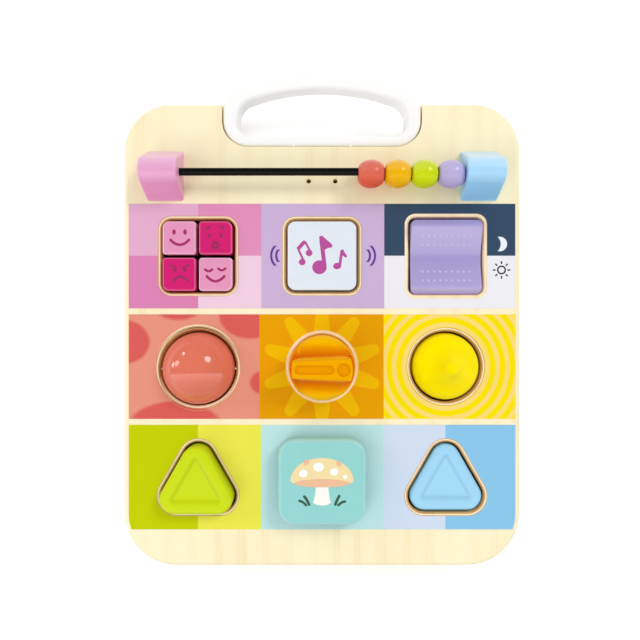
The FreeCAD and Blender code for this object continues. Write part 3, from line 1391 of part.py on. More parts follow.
def make_block():
    """The square block: a cap that slides on a collar over a bulb, above the see-saw."""
    tray = make_tray("block_tray", "centre", "bottom", "block_plate_low")
    passage = new_sketch(tray, "beam_passage", "back_thickness")
    add_rectangle(passage, "0", "0", TRAY, "beam_channel")
    pocket(tray, passage, "block_plate_low - back_thickness", upward=True)
    gap = "(beam_width / 2 + pin_ear_gap)"
    ears = new_sketch(tray, "pin_ears", "block_plate_low")
    for sign in ("-", ""):
        add_rectangle(ears, "0", f"{sign}({gap} + ear_thickness / 2)", "pin_ear_length", "ear_thickness")
    pad(tray, ears, "pin_ear_drop", downward=True)
    bore = new_sketch(tray, "pin_bores", f"-{gap} - ear_thickness", "XZ_Plane")
    add_circle(bore, "0", "seesaw_pivot", "beam_pin_radius")
    pocket(tray, bore, f"2 * ({gap} + ear_thickness)", upward=True)
    seat = new_sketch(tray, "block_reed_hole", "block_plate_low + tray_floor")
    add_circle(seat, "0", "0", "reed_radius")
    pocket(tray, seat, "tray_floor")
    collar = new_body("block_collar", COLUMNS["centre"], ROWS["bottom"], FACE)
    wall = new_sketch(collar, "collar_wall", "0")
    collar_outline(wall, "0", "0", "0")
    pad(collar, wall, "collar_height")
    spigot = new_sketch(collar, "collar_spigot", "0")
    add_rounded(spigot, "0", "0", "block_opening", "block_opening", "block_opening_corner")
    pad(collar, spigot, "panel_thickness", downward=True)
    bore = new_sketch(collar, "collar_bore_outline", "collar_height")
    add_rounded(bore, "0", "0", "collar_bore", "collar_bore", "block_opening_corner")
    pocket(collar, bore, "collar_height + panel_thickness")
    make_block_cap()
    plate = "(block_plate_low + tray_floor)"
    roof = f"({FACE} + block_proud - block_wall - bulb_seat)"
    make_bulb("block_bulb", "centre", "bottom", plate, roof, "block_bulb_radius")
    make_reed("block_reed", "centre", "bottom", "block_plate_low", "tray_floor")


def make_block_cap():
    """The cap, with two hooks that reach through the collar and catch under it."""
    body = new_body("block_cap", COLUMNS["centre"], ROWS["bottom"], FACE)
    low = "(block_travel + block_stop)"
    cap = new_sketch(body, "cap_outside", low)
    add_rounded(cap, "0", "0", "block_width", "block_length", "block_corner")
    block = pad(body, cap, f"block_proud - {low}")
    fillet(body, block, "block_round", lambda edge: lies_at(edge, "block_proud"))
    hollow = new_sketch(body, "cap_hollow", low)
    width, length = "(block_width - 2 * block_wall)", "(block_length - 2 * block_wall)"
    add_rounded(hollow, "0", "0", width, length, "(block_corner - block_wall)")
    pocket(body, hollow, f"block_proud - block_wall - {low}", upward=True)
    outer = "(collar_bore / 2 - block_gap)"
    foot = "(-panel_thickness - lip_gap - lip_thickness)"
    arms = new_sketch(body, "cap_arms", foot)
    lips = new_sketch(body, "cap_lips", foot)
    for sign in ("-", ""):
        add_rectangle(arms, "0", f"{sign}({outer} - hook_thickness / 2)", "hook_width", "hook_thickness")
        add_rectangle(lips, "0", f"{sign}({outer} + hook_lip / 2 - 1)", "hook_width", "hook_lip + 2")
    pad(body, arms, f"block_proud - block_wall + 1 - {foot}")
    pad(body, lips, "lip_thickness")


def export_parts():
    os.makedirs("parts", exist_ok=True)
    for node in nodes:
        node.Shape.exportStep(f"parts/{node.Label}.step")


make_front_panel()
make_core_frame()
make_back_panel()
make_screws("panel_screws", screw_places(), "screw_length")
make_screws("handle_screws", handle_screw_places(), "handle_screw_length")
make_handle()
for strip_row in ROWS:
    make_print_strip(strip_row)
make_bead_rail()
make_keys()
make_music_button()
make_rocker()
make_ball()
make_knob()
make_joystick()
make_triangles()
make_seesaw()
make_block()
doc.recompute()
for item in doc.Objects:
    if "Invalid" in item.State or "Error" in item.State:
        raise RuntimeError(f"{item.Label} failed: {item.State}")
for node in nodes:
    if node.Shape.isNull() or not node.Shape.isValid():
        raise RuntimeError(f"{node.Label} has no valid shape")
export_parts()
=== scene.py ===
# %% [markdown]
# # A wooden busy board, piece by piece
# The board is a child's activity toy: a thick slab of maple with a white handle, a rail of four
# beads, and nine controls that press, turn, roll or tilt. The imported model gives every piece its
# place and its movement. This lesson gives each one its real surface: grain, moulded skin, print.

# %% Load the frame and measure it
import math

import bpy
import numpy as np
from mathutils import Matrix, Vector
from mathutils.bvhtree import BVHTree


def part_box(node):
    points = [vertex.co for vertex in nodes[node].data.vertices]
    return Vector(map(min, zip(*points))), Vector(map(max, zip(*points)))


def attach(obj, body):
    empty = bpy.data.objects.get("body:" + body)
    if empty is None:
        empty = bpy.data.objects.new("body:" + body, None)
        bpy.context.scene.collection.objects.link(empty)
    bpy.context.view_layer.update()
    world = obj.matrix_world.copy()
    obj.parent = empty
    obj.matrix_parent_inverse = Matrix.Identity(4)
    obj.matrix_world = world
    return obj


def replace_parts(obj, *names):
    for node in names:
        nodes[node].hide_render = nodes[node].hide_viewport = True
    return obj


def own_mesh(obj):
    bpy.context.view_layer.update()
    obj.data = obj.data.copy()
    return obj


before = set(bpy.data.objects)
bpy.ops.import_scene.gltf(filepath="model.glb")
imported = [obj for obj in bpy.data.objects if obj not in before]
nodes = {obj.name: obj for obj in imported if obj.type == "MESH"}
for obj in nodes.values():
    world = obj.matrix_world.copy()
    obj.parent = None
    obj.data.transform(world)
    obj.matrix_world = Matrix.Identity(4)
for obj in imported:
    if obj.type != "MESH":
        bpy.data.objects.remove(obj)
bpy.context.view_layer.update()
MM = 0.001


def span(node):
    """Lowest and highest corner of a piece, as two arrays in metres."""
    low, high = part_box(node)
    return np.array(low), np.array(high)


def middle_of(node):
    """Middle of a piece's box in millimetres."""
    low, high = span(node)
    return (low + high) / 2 / MM


def top_of(node):
    """Height of a piece's highest point above the back of the board, in millimetres."""
    return float(span(node)[1][2] / MM)


def stand(name, data):
    """Puts an object made of the given mesh, lamp or camera into the scene."""
    made = bpy.data.objects.new(name, data)
    bpy.context.collection.objects.link(made)
    return made


FACE = top_of("front_panel")
print("the face of the board stands", round(FACE, 2), "mm above the back")

# %% [markdown]
# ## Camera and light
# The photograph looks straight down on the board from about 40 cm, so that tall pieces lean
# outwards a little. One round lamp from the upper right gives the short soft shadows and the small
# bright spot on the ball. A weak one at the left and a wide faint one at the lower left fill the
# other side, and two more are seen only as small glints on what is glossy. A pale dome of light
# does the rest, as a white studio would.

# %% Camera
camera = stand("camera", bpy.data.cameras.new("camera"))
camera.data.sensor_width = 36
camera.data.lens = 33.75
camera.location = (-1.28 * MM, 0, 416 * MM)
bpy.context.scene.camera = camera
bpy.context.scene.view_settings.view_transform = "Standard"
print("camera height", camera.location.z)

# %% Lamps: discs aimed at the middle of the board


def lamp(name, direction, distance, size, watts):
    """A round area lamp. It stands at direction x distance and looks back along that direction."""
    data = bpy.data.lights.new(name, "AREA")
    data.shape = "DISK"
    data.size = size
    data.energy = watts
    lit = stand(name, data)
    lit.location = np.array(direction) / np.linalg.norm(direction) * distance
    lit.rotation_euler = lit.location.to_track_quat("Z", "Y").to_euler()
    return lit


LAMPS = {
    "key_lamp": ((0.54, 0.5, 0.68), 3.0, 0.97, 25),
    "side_lamp": ((-0.9, 0.2, 0.42), 1.3, 0.3, 1.6),
    "fill_lamp": ((-0.55, -0.55, 0.62), 2.5, 1.8, 13),
    "window_glint": ((-0.66, 0.62, 0.42), 1.3, 0.16, 1.1),
    "window_edge": ((-0.97, 0.1, 0.2), 1.3, 0.22, 1.2),
}
lamps = {name: lamp(name, *settings) for name, settings in LAMPS.items()}
lamps["fill_lamp"].visible_glossy = False
for name in ("window_glint", "window_edge"):
    lamps[name].visible_diffuse = False
print("lamps:", len(lamps))

# %% [markdown]
# ## Fields
# A shader node works something out at every point of a surface: a number, a colour or a vector.
# Here this is called a field. Sums, products and comparisons of fields are written as ordinary
# arithmetic, and each sign adds one Math node.

# %% Fields and the nodes behind them
WHITE = (1, 1, 1, 1)


class Field:
    """What a node gives at each point. Arithmetic on it adds Math nodes to the same tree."""

    def __init__(self, socket):
        self.socket, self.tree = socket, socket.id_data

    def do(self, operation, other=0.0, clamp=False):
        """One Math node: the named operation on this field and another field or number."""
        return field(self.tree, "Math", {0: self, 1: other}, operation=operation, use_clamp=clamp)

    def __add__(self, other):
        return self.do("ADD", other)

    def __sub__(self, other):
        return self.do("SUBTRACT", other)

    def __rsub__(self, other):
        return field(self.tree, "Math", {0: other, 1: self}, operation="SUBTRACT")

    def __mul__(self, other):
        return self.do("MULTIPLY", other)

    def __truediv__(self, other):
        return self.do("DIVIDE", other)

    def __pow__(self, other):
        return self.do("POWER", other)

    def __lt__(self, other):
        return self.do("LESS_THAN", other)

    def __gt__(self, other):
        return self.do("GREATER_THAN", other)

    def __abs__(self):
        return self.do("ABSOLUTE")


def feed(socket, value):
    """Links an input to a field or an output socket, or sets it to a fixed value."""
    if isinstance(value, Field):
        value = value.socket
    if isinstance(value, bpy.types.NodeSocket):
        socket.id_data.links.new(value, socket)
    else:
        socket.default_value = value


def add(tree, kind, sockets=None, **settings):
    """Adds a shader node, sets its properties, then feeds its inputs."""
    made = tree.nodes.new(f"ShaderNode{kind}")
    for name, value in settings.items():
        setattr(made, name, value)
    for name, value in (sockets or {}).items():
        feed(made.inputs[name], value)
    return made


def field(tree, kind, sockets=None, output=0, **settings):
    """Adds a shader node and gives one of its outputs as a field."""
    return Field(add(tree, kind, sockets, **settings).outputs[output])


def axes(vector):
    """The X, Y and Z of a vector field."""
    return [Field(part) for part in add(vector.tree, "SeparateXYZ", {0: vector}).outputs]


def facing(tree, normal="Normal"):
    """X, Y and Z of the way the surface faces."""
    return axes(field(tree, "NewGeometry", output=normal))


def ramp(value, stops):
    """A Color Ramp of a field, with (place, grey or colour) stops."""
    made = add(value.tree, "ValToRGB", {0: value})
    points = made.color_ramp.elements
    while len(points) < len(stops):
        points.new(0.5)
    for point, (place, shade) in zip(points, stops):
        point.position = place
        point.color = shade if isinstance(shade, tuple) else (shade, shade, shade, 1)
    return Field(made.outputs[0])


def mix(factor, first, second):
    """The first colour where the factor is 0, the second where it is 1."""
    sockets = {0: factor, 6: first, 7: second}
    return field(factor.tree, "Mix", sockets, output=2, data_type="RGBA")


def noise(vector, scale, detail=2.0, roughness=0.5):
    """Cloudy noise between about 0 and 1."""
    sockets = {"Vector": vector, "Scale": scale, "Detail": detail, "Roughness": roughness}
    return field(vector.tree, "TexNoise", sockets)


def stretched(vector, scale):
    """Coordinates whose axes are scaled, so that a pattern grows long where its scale is small."""
    return field(vector.tree, "Mapping", {0: vector, "Scale": scale})


# %% [markdown]
# ## The dome of light
# The dome is nearly even, a little brighter towards the handle. Reflections see another one: dark,
# so that deep colours stay deep, with a bright panel on the side of the viewer's feet, whose level
# edge shows on a glossy ball as on the real one. The camera sees a plain pale grey, which the
# table hides from above.

# %% World
world = bpy.data.worlds.new("studio_dome")
bpy.context.scene.world = world
world.use_nodes = True


def light_the_dome(tree):
    """Chooses a light by the kind of ray. Height is 0 at the feet and 1 beyond the handle."""
    tree.nodes.clear()
    ray = add(tree, "LightPath")
    height = axes(field(tree, "TexCoord", output="Generated"))[1] * 0.5 + 0.5
    wash = ramp(height, [(0.0, 0.66), (0.5, 0.7), (1.0, 0.76)])
    panel = [(0.0, 0.6), (0.16, 0.9), (0.3, 1.9), (0.382, 2.9), (0.39, 0.16), (1.0, 0.16)]
    chosen = add(tree, "Background", {"Color": wash}).outputs[0]
    for kind, colour in (("Glossy", ramp(height, panel)), ("Camera", (0.8, 0.8, 0.8, 1))):
        light = add(tree, "Background", {"Color": colour})
        parts = {0: ray.outputs[f"Is {kind} Ray"], 1: chosen, 2: light.outputs[0]}
        chosen = add(tree, "MixShader", parts).outputs[0]
    add(tree, "OutputWorld", {0: chosen})


light_the_dome(world.node_tree)
print("world nodes:", len(world.node_tree.nodes))

# %% [markdown]
# ## Colours and finishes
# Colours are picked as they look on a screen, from 0 to 255, and turned into the linear values that
# a renderer needs. Most pieces share one recipe: a moulded or painted skin whose colour drifts a
# little, whose gloss is uneven, and whose surface has a very fine orange-peel relief. Its rounded
# edges can be painted paler, a painted highlight, and its colour can be painted paler or deeper by
# the way it faces, a painted light and shade.

# %% Helpers for colours and materials
SURFACE = {"Color": "Color", "Roughness": "Float", "Height": "Float"}


def screen(colour):
    """Linear value of a screen colour: ((c + 0.055) / 1.055) to the power 2.4, above the toe."""
    tone = np.array(colour) / 255
    linear = np.where(tone <= 0.04045, tone / 12.92, ((tone + 0.055) / 1.055) ** 2.4)
    return (*map(float, linear), 1.0)


def mix_white(colour, share):
    """The linear value of a screen colour, part of the way to white."""
    return tuple(share + (1 - share) * value for value in screen(colour))


def new_group(name, **inputs):
    """A node group with inputs of the given kinds that gives a surface, and its input fields."""
    group = bpy.data.node_groups.new(name, "ShaderNodeTree")
    for direction, sockets in (("INPUT", inputs), ("OUTPUT", SURFACE)):
        for label, kind in sockets.items():
            group.interface.new_socket(label, in_out=direction, socket_type=f"NodeSocket{kind}")
    given = group.nodes.new("NodeGroupInput").outputs
    return group, {label: Field(given[label]) for label in inputs}


def give(group, *surface):
    """Ends a group: the colour, roughness and height go to its outputs."""
    out = group.nodes.new("NodeGroupOutput").inputs
    for label, value in zip(SURFACE, surface):
        feed(out[label], value)
    return group


def new_finish(name, roughness, **shares):
    """A material, its Principled shader and the place of each point on the piece. Values that are
    the same all over go on the shader's own sockets."""
    material = bpy.data.materials.new(name)
    material.use_nodes = True
    shader = material.node_tree.nodes["Principled BSDF"]
    shader.inputs["Roughness"].default_value = roughness
    for label, value in shares.items():
        shader.inputs[label.replace("_", " ").title().replace("Ior", "IOR")].default_value = value
    return material, shader, field(material.node_tree, "TexCoord", output="Object")


def dress(shader, colour, roughness, height, depth):
    """Feeds a shader. The height map becomes a bump of the given depth in metres."""
    feed(shader.inputs["Base Color"], colour)
    feed(shader.inputs["Roughness"], roughness)
    bump = add(shader.id_data, "Bump", {"Height": height, "Distance": depth})
    feed(shader.inputs["Normal"], bump.outputs[0])


def coat(mesh, material):
    """Gives a mesh one material in place of those it has."""
    mesh.materials.clear()
    mesh.materials.append(material)


def wear(material, *names):
    """Gives a finish to carried-over pieces of the frame."""
    for name in names:
        coat(nodes[name].data, material)


# %% The moulded skin, shared by plastic, paint, print and rubber


def make_skin_group():
    """Drift varies the brightness at random. The lean input takes colour away from what faces the
    top of the board and adds it where the skin faces away, a painted light and shade, and the edge
    input whitens what is tilted between the flat top and the upright wall, a painted highlight."""
    group, given = new_group(
        "moulded_skin", Vector="Vector", Color="Color", Drift="Float", Gloss="Float", Peel="Float",
        Edge="Float", Lean="Float",
    )
    cloud = noise(given["Vector"], 60.0, 3.0)
    peel = noise(given["Vector"], given["Peel"])
    _, along, up = facing(group)
    # Painted light and shade: less colour where the skin faces the top of the board, more where it
    # faces away.
    tone = field(group, "HueSaturation", {
        "Value": (cloud - 0.5) * given["Drift"] + 1.0,
        "Saturation": 1.0 - along * given["Lean"],
        "Color": given["Color"],
    })
    # Painted highlight: the rounded band between the flat top and the upright wall is whitened.
    tilt = ramp(abs(up), [(0.2, 0.0), (0.5, 1.0), (0.88, 1.0), (0.98, 0.0)])
    colour = mix(tilt * given["Edge"], tone, WHITE)
    return give(group, colour, peel * 0.08 + (given["Gloss"] - 0.04), peel)


skin_group = make_skin_group()
print("skin nodes:", len(skin_group.nodes))


def skin_finish(
    name, colour, gloss=0.3, drift=0.06, peel=900.0, depth=0.000004, painted_edge_highlight=0.0, lean=0.0, **shares
):
    """A skin of one screen colour, or of a field that a maker gives for the place on the piece.
    Gloss is its roughness, depth the height of its orange peel, edge how far its rounded edges
    are painted paler, a painted highlight, and lean how much paler it is painted where it faces the
    top of the board and how much deeper where it faces away, a painted light and shade."""
    material, shader, place = new_finish(name, gloss, **shares)
    # The edge and lean values set how much painted highlight and painted light and shade the skin
    # gets.
    skin = add(place.tree, "Group", {
        "Vector": place, "Color": colour(place) if callable(colour) else screen(colour),
        "Drift": drift, "Gloss": gloss, "Peel": peel, "Edge": painted_edge_highlight, "Lean": lean,
    }, node_tree=skin_group)
    dress(shader, *skin.outputs, depth)
    return material


# %% [markdown]
# ## Maple
# The face is sawn maple with its grain running up the board: long pale streaks, a few darker lines
# that widen into flames, and fine pores. Noise that is squeezed across the grain and stretched
# along it gives the streaks, and bands bent by slow noise give the flames. On the edges the same
# wood shows its layers instead.

# %% Maple figure


def make_maple_group():
    """Colour from Pale to Warm by an amount that Figure scales. Layer is the thickness of a ply."""
    group, given = new_group(
        "maple_figure", Vector="Vector", Pale="Color", Warm="Color", Figure="Float", Layer="Float",
    )
    long, broad, fine = (
        stretched(given["Vector"], (1.0, along, 1.0)) for along in (0.09, 0.38, 0.035))
    bands = field(group, "TexWave", {
        "Vector": long, "Scale": 20.0, "Distortion": 9.0, "Detail": 3.0, "Detail Scale": 0.7,
    }, output=1)
    flame = ramp(bands, [(0.0, 0.0), (0.62, 0.12), (0.93, 1.0), (1.0, 0.55)])
    patch = ramp(noise(broad, 24.0, 3.0), [(0.35, 0.0), (0.68, 1.0)])
    streak = ramp(noise(long, 210.0, 5.0, 0.62), [(0.36, 0.0), (0.72, 1.0)])
    pore = ramp(noise(fine, 1500.0), [(0.60, 0.0), (0.74, 1.0)])
    amount = streak * 0.09 + flame * patch * 0.42 + pore * 0.07 + patch * 0.27
    amount = amount.do("MULTIPLY", given["Figure"], clamp=True)
    side = ramp(abs(facing(group, "True Normal")[2]), [(0.25, 1.0), (0.6, 0.0)])
    layer = (axes(given["Vector"])[2] / given["Layer"]).do("FRACT")
    glue = [(0.0, 0.75), (0.05, 0.1), (0.48, 0.0), (0.52, 0.42), (0.95, 0.5), (1.0, 0.75)]
    amount = amount.do("MAXIMUM", ramp(layer, glue) * side)
    colour = mix(amount, given["Pale"], given["Warm"])
    return give(group, colour, streak * 0.12 + 0.42, pore * -0.6 + streak * -0.4)


maple_group = make_maple_group()
print("maple nodes:", len(maple_group.nodes))


def maple_finish(name, pale, warm, figure=0.5, layer=0.0028, shift=(0, 0, 0)):
    """Sealed maple between a pale and a warm screen colour. Layer is the thickness of one ply."""
    material, shader, place = new_finish(name, 0.45, specular_ior_level=0.35)
    wood = add(place.tree, "Group", {
        "Vector": field(place.tree, "Mapping", {0: place, "Location": shift}),
        "Pale": screen(pale), "Warm": screen(warm), "Figure": figure, "Layer": layer,
    }, node_tree=maple_group)
    dress(shader, *wood.outputs, 0.00006)
    return material


LAYERS = {
    "front_panel": ("maple", (254, 244, 208), (236, 200, 124)),
    "core_frame": (
        "maple_core", (243, 224, 182), (206, 160, 104), 0.6, 0.0035, (0.05, 0.02, 0.0001)),
    "back_panel": ("maple_back", (248, 232, 194), (214, 168, 110), 0.6, 0.0015, (0.11, -0.07, 0)),
}
for node, settings in LAYERS.items():
    wear(maple_finish(*settings), node)
print("maple on the three layers of the board")

# %% [markdown]
# ## Printed sheets
# Three sheets of coloured print are glued to the face. Their picture is simple: flat fields, bands
# and a few signs, so each is drawn by arithmetic on the position in millimetres. A mask is 1 inside
# a shape and 0 outside it, and each mask lays one more colour over those below.

# %% A small drawing kit


class Sheet:
    """A print seen as layers of colour over a plane whose X and Y are measured in millimetres."""

    def __init__(self, place, ground):
        scaled = field(place.tree, "VectorMath", {0: place, "Scale": 1 / MM}, operation="SCALE")
        self.x, self.y, _ = axes(scaled)
        self.colour = screen(ground)

    def lay(self, mask, colour):
        """Lays a screen colour over the print where the mask is 1."""
        self.colour = mix(mask, self.colour, screen(colour))

    def band(self, left, right):
        """Mask of an upright band."""
        return (self.x > left) * (self.x < right)

    def away(self, x, y, stretch=1.0):
        """Distance from a point; a stretch above 1 makes its circles lie down as ovals."""
        return (((self.x - x) / stretch) ** 2 + (self.y - y) ** 2) ** 0.5

    def disc(self, x, y, radius):
        """Mask of a disc."""
        return self.away(x, y) < radius

    def ring(self, x, y, radius, width):
        """Mask of a ring whose width lies evenly on both sides of its radius."""
        return abs(self.away(x, y) - radius) < width / 2

    def turn(self, x, y):
        """Angle round a point in radians, from -pi to pi, counter-clockwise from the right."""
        return (self.y - y).do("ARCTAN2", self.x - x)


ROWS = [middle_of(f"print_strip_{row}")[1] for row in ("top", "middle", "bottom")]
PITCH = middle_of("rocker")[0]
print("print rows at y", [round(row, 2) for row in ROWS])

# %% Top print: pink quarters, a humming square, night over day


def top_print(place):
    top = Sheet(place, (202, 177, 215))
    outer, inner, right = top.x < -79.2, top.band(-79.2, -38.8), top.x > 39.8
    across = 41.1
    upper, lower = top.y > across, top.y < across
    for column, row, colour in (
        (outer, upper, (225, 173, 203)), (inner, upper, (224, 144, 187)),
        (outer, lower, (218, 132, 180)), (inner, lower, (238, 205, 225)),
        (right, upper, (56, 76, 102)), (right, lower, (236, 235, 240)),
    ):
        top.lay(column * row, colour)
    for side in (-1, 1):
        for radius, reach in ((5.8, 4.0), (9.0, 6.4)):
            near = abs(top.y - across) < reach
            sound = top.ring(0.7 + side * 24.2, across, radius, 1.45) * near
            top.lay(sound * (top.x * side > 27.0), (98, 66, 150))
    moon = top.disc(113.7, 48.6, 4.67) * (1.0 - top.disc(108.2, 48.6, 6.1))
    top.lay(moon, (232, 240, 246))
    x, y, rays = 114.8, 32.0, 8
    wedge = abs((top.turn(x, y) * (rays / 2 / math.pi) + (rays + 0.5)).do("FRACT") - 0.5)
    ray = (wedge * top.away(x, y) < 0.6) * top.ring(x, y, 4.7, 1.8)
    top.lay(ray.do("MAXIMUM", top.ring(x, y, 2.4, 1.0)), (46, 52, 76))
    return top.colour


# %% Middle print: soft blobs, a sunburst, ripples
BLOBS = (
    (-46, 4, 17, 1.25), (-127, -14, 15, 1.2), (-94, -70, 19, 1.7), (-39, -40, 8, 1.0),
    (-92, 7, 8, 2.0),
)


def middle_print(place):
    """The sunburst has ten arms that narrow outwards and end in a half disc: an arm is where
    |beside| < 8.75 - 0.146 along, up to 34.75 mm, with both measured from its own middle line."""
    middle = Sheet(place, (231, 159, 0))
    left, centre, right = middle.x < -40.0, middle.band(-40.0, 39.4), middle.x > 39.4
    middle.lay(left, (230, 148, 126))
    for x, y, radius, stretch in BLOBS:
        soft = (middle.away(x, y, stretch) * -0.5).do("ADD", radius / 2, clamp=True)
        middle.lay(soft * left, (218, 94, 88))
    y, arms, reach, tip_radius = ROWS[1], 10, 34.75, 3.6
    turns = middle.turn(0.0, y) * (arms / 2 / math.pi) + arms / 2
    swing = (turns.do("FRACT") - 0.5) * (2 * math.pi / arms)
    far = middle.away(0.0, y)
    along, beside = far * swing.do("COSINE"), abs(far * swing.do("SINE"))
    arm = (beside < along * -0.146 + 8.75) * (along < reach)
    tip = beside * beside + (along - reach) ** 2 < tip_radius ** 2
    middle.lay(arm.do("MAXIMUM", tip) * centre, (238, 186, 0))
    middle.lay(right, (248, 224, 0))
    ripple = (middle.away(PITCH, y) / 6.34).do("FRACT") < 0.45
    middle.lay(ripple * right, (248, 218, 122))
    return middle.colour


# %% Bottom print: five plain fields


def bottom_print(place):
    low = Sheet(place, (190, 229, 229))
    low.lay(low.x < -79.4, (196, 206, 0))
    low.lay(low.band(-79.4, -39.0), (236, 231, 78))
    low.lay(low.band(39.0, 78.9), (207, 221, 240))
    low.lay(low.x > 78.9, (138, 197, 233))
    return low.colour


for row, maker in (("top", top_print), ("middle", middle_print), ("bottom", bottom_print)):
    ink = skin_finish(f"print_{row}", maker, 0.4, 0.03, 1400.0, specular_ior_level=0.05)
    wear(ink, f"print_strip_{row}")
print("three printed sheets")

# %% [markdown]
# ## Plastic, paint, steel and rubber on the carried-over pieces
# The frame's own shapes are already right for most pieces, so they keep their meshes and get the
# finish of the real thing.

# %% Handle and rail
white = skin_finish(
    "white_plastic", (250, 250, 249), 0.4, 0.02, depth=0.0000005, specular_ior_level=0.12)
black = skin_finish("rod_black", (9, 9, 8), 0.28, 0.2, 2500.0, 0.000003, specular_ior_level=0.15)
wear(white, "handle")
wear(black, "rail_rod")
# Both holders get painted highlights on their rounded edges and painted light and shade by the way
# they face.
wear(skin_finish("pink_plastic", (234, 166, 205), painted_edge_highlight=0.08, lean=0.2), "rail_holder_left")
wear(skin_finish("blue_plastic", (172, 220, 252), painted_edge_highlight=0.08, lean=0.25), "rail_holder_right")

# %% Button, rocker and ball
# Painted light and shade on the rocker: bands of lilac along it, deeper in the valley and on the
# bevels, paler on the upper half.
ROCKER_PAINTED_LIGHT_AND_SHADE = (
    (0.0, (150, 135, 205)), (0.06, (184, 174, 224)), (0.12, (170, 160, 210)),
    (0.42, (164, 154, 207)), (0.49, (162, 152, 206)), (0.53, (174, 164, 213)),
    (0.86, (186, 175, 219)), (0.91, (160, 146, 209)), (1.0, (146, 132, 205)),
)


def rocker_painted_light_and_shade(place):
    """Lilac with painted light and shade: deeper in the valley across the middle and along both
    bevels, and paler on the upper half and just inside each bevel.
    """
    low, high = (float(corner[1]) for corner in span("rocker"))
    sockets = {"Value": axes(place)[1], "From Min": low, "From Max": high}
    height = field(place.tree, "MapRange", sockets)
    return ramp(height, [(share, screen(tone)) for share, tone in ROCKER_PAINTED_LIGHT_AND_SHADE])


# The button's and the rocker's rounded edges are painted paler, a painted highlight.
wear(skin_finish("button_white", (227, 234, 243), 0.25, painted_edge_highlight=0.3), "music_button")
wear(skin_finish("rocker_lilac", rocker_painted_light_and_shade, painted_edge_highlight=0.08, specular_ior_level=0.3), "rocker")
wear(skin_finish("ball_coral", (226, 117, 92), 0.12), "ball_front_shell", "ball_rear_shell")

# %% Knob, joystick and block


def knob_colour_with_painted_shade(place):
    """Orange with painted shade: deepest in the hollows beside the grip, within 8 mm of its middle
    line and gone at 16 mm, and only on what faces up there. The walls keep the plain orange. The
    grip has its own orange, painted a little darker in the slot sunk into its top."""
    # The deep orange in the hollows and the darker slot are painted shade.
    _, y, z = axes(place)
    beside = abs(y - float(middle_of("knob")[1]) * MM) / (20 * MM)
    painted_hollow_shade = ramp(beside, [(0.38, 1.0), (0.58, 0.6), (0.82, 0.0)])
    level = ramp(facing(place.tree)[2], [(0.3, 0.0), (0.7, 1.0)])
    disc = mix(painted_hollow_shade * level, screen((251, 188, 0)), screen((224, 100, 0)))
    below = (top_of("knob") * MM - z) / (5 * MM)
    grip_with_painted_slot_shade = ramp(below, [(0.04, screen((245, 171, 0))), (0.12, screen((238, 157, 0)))])
    return mix(below > 0.3, grip_with_painted_slot_shade, disc)


orange = skin_finish("knob_orange", knob_colour_with_painted_shade, 0.26, specular_tint=screen((255, 190, 0)))
yellow = skin_finish(
    "joystick_yellow", (255, 233, 0), 0.36, specular_tint=screen((255, 238, 20)),
    specular_ior_level=0.3)
wear(orange, "knob")
wear(yellow, "joystick")
# The block cap's rounded edges are painted paler, a painted highlight.
wear(skin_finish("block_teal", (144, 211, 207), 0.5, painted_edge_highlight=0.12), "block_cap")
print("plastic and paint on the rail, the handle and the controls")

# %% Inner pieces and small metal
# The trays and guides seen through the gaps are coloured as those gaps look: dark where they lie in
# shade, brown or cream where the wall in them is lit, painted shade and light.
TRAYS_PAINTED_AS_GAP_LIGHT_AND_SHADE = {
    "keys_tray": (96, 30, 50), "music_tray": (128, 98, 66), "rocker_tray": (66, 48, 92),
    "ball_tray": (176, 118, 76), "knob_tray": (252, 222, 186), "joystick_tray": (150, 104, 30),
    "block_tray": (70, 110, 108), "green_guide": (84, 96, 24), "blue_guide": (44, 70, 112),
    "block_collar": (96, 140, 138),
}
for name, colour in TRAYS_PAINTED_AS_GAP_LIGHT_AND_SHADE.items():
    wear(skin_finish(f"{name}_plastic", colour, 0.5), name)
acetal = skin_finish("inner_acetal", (236, 234, 226), 0.35)
wear(acetal, "knob_click_wheel", "seesaw_beam", "joystick_cross")
silicone = skin_finish("silicone", (214, 214, 208), 0.5)
wear(silicone, "key_dome_smile", "key_dome_surprise", "key_dome_angry", "key_dome_calm")
wear(skin_finish("reed_plastic", (224, 190, 70), 0.35), "music_reed", "block_reed")


def steel_finish(name, colour, roughness):
    """Drawn steel: fine scratches run along X and break up the gloss."""
    material, shader, place = new_finish(name, roughness, metallic=1.0)
    scratch = noise(stretched(place, (0.05, 1.0, 1.0)), 3000.0, 3.0)
    dull = ramp(scratch, [(0.35, 0.0), (0.65, 1.0)])
    tone = mix(dull, screen(colour), screen(0.86 * np.array(colour)))
    dress(shader, tone, scratch * 0.2 + (roughness - 0.1), scratch, 0.00001)
    return material


screw_steel = steel_finish("screw_steel", (196, 196, 192), 0.35)
wear(screw_steel, "knob_screw", "knob_washer")
wear(steel_finish("pin_steel", (224, 224, 222), 0.25), "rocker_pin", "ball_axle", "seesaw_pin")
spring_steel = steel_finish("spring_steel", (150, 152, 156), 0.3)
wear(spring_steel, "knob_click_spring", "rocker_click_spring")
print("trays, inner pieces and steel")

# %% [markdown]
# ## Soft pieces under the buttons
# Each squeaker bulb under a button is a plain copy of the imported one, and the boot under the
# joystick lies in lower folds than the imported one, so that the rim of the tilted joystick never
# cuts it.


def soft_copy(node, name, material, tall=1.0):
    """A copy of a carried-over mesh on the board: z' = foot + tall * (z - foot)."""
    mesh = nodes[node].data.copy()
    mesh.name = name
    foot = float(span(node)[0][2])
    for corner in mesh.vertices:
        corner.co.z = foot + tall * (corner.co.z - foot)
    coat(mesh, material)
    made = stand(name, mesh)
    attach(made, "board")
    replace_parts(made, node)
    return made


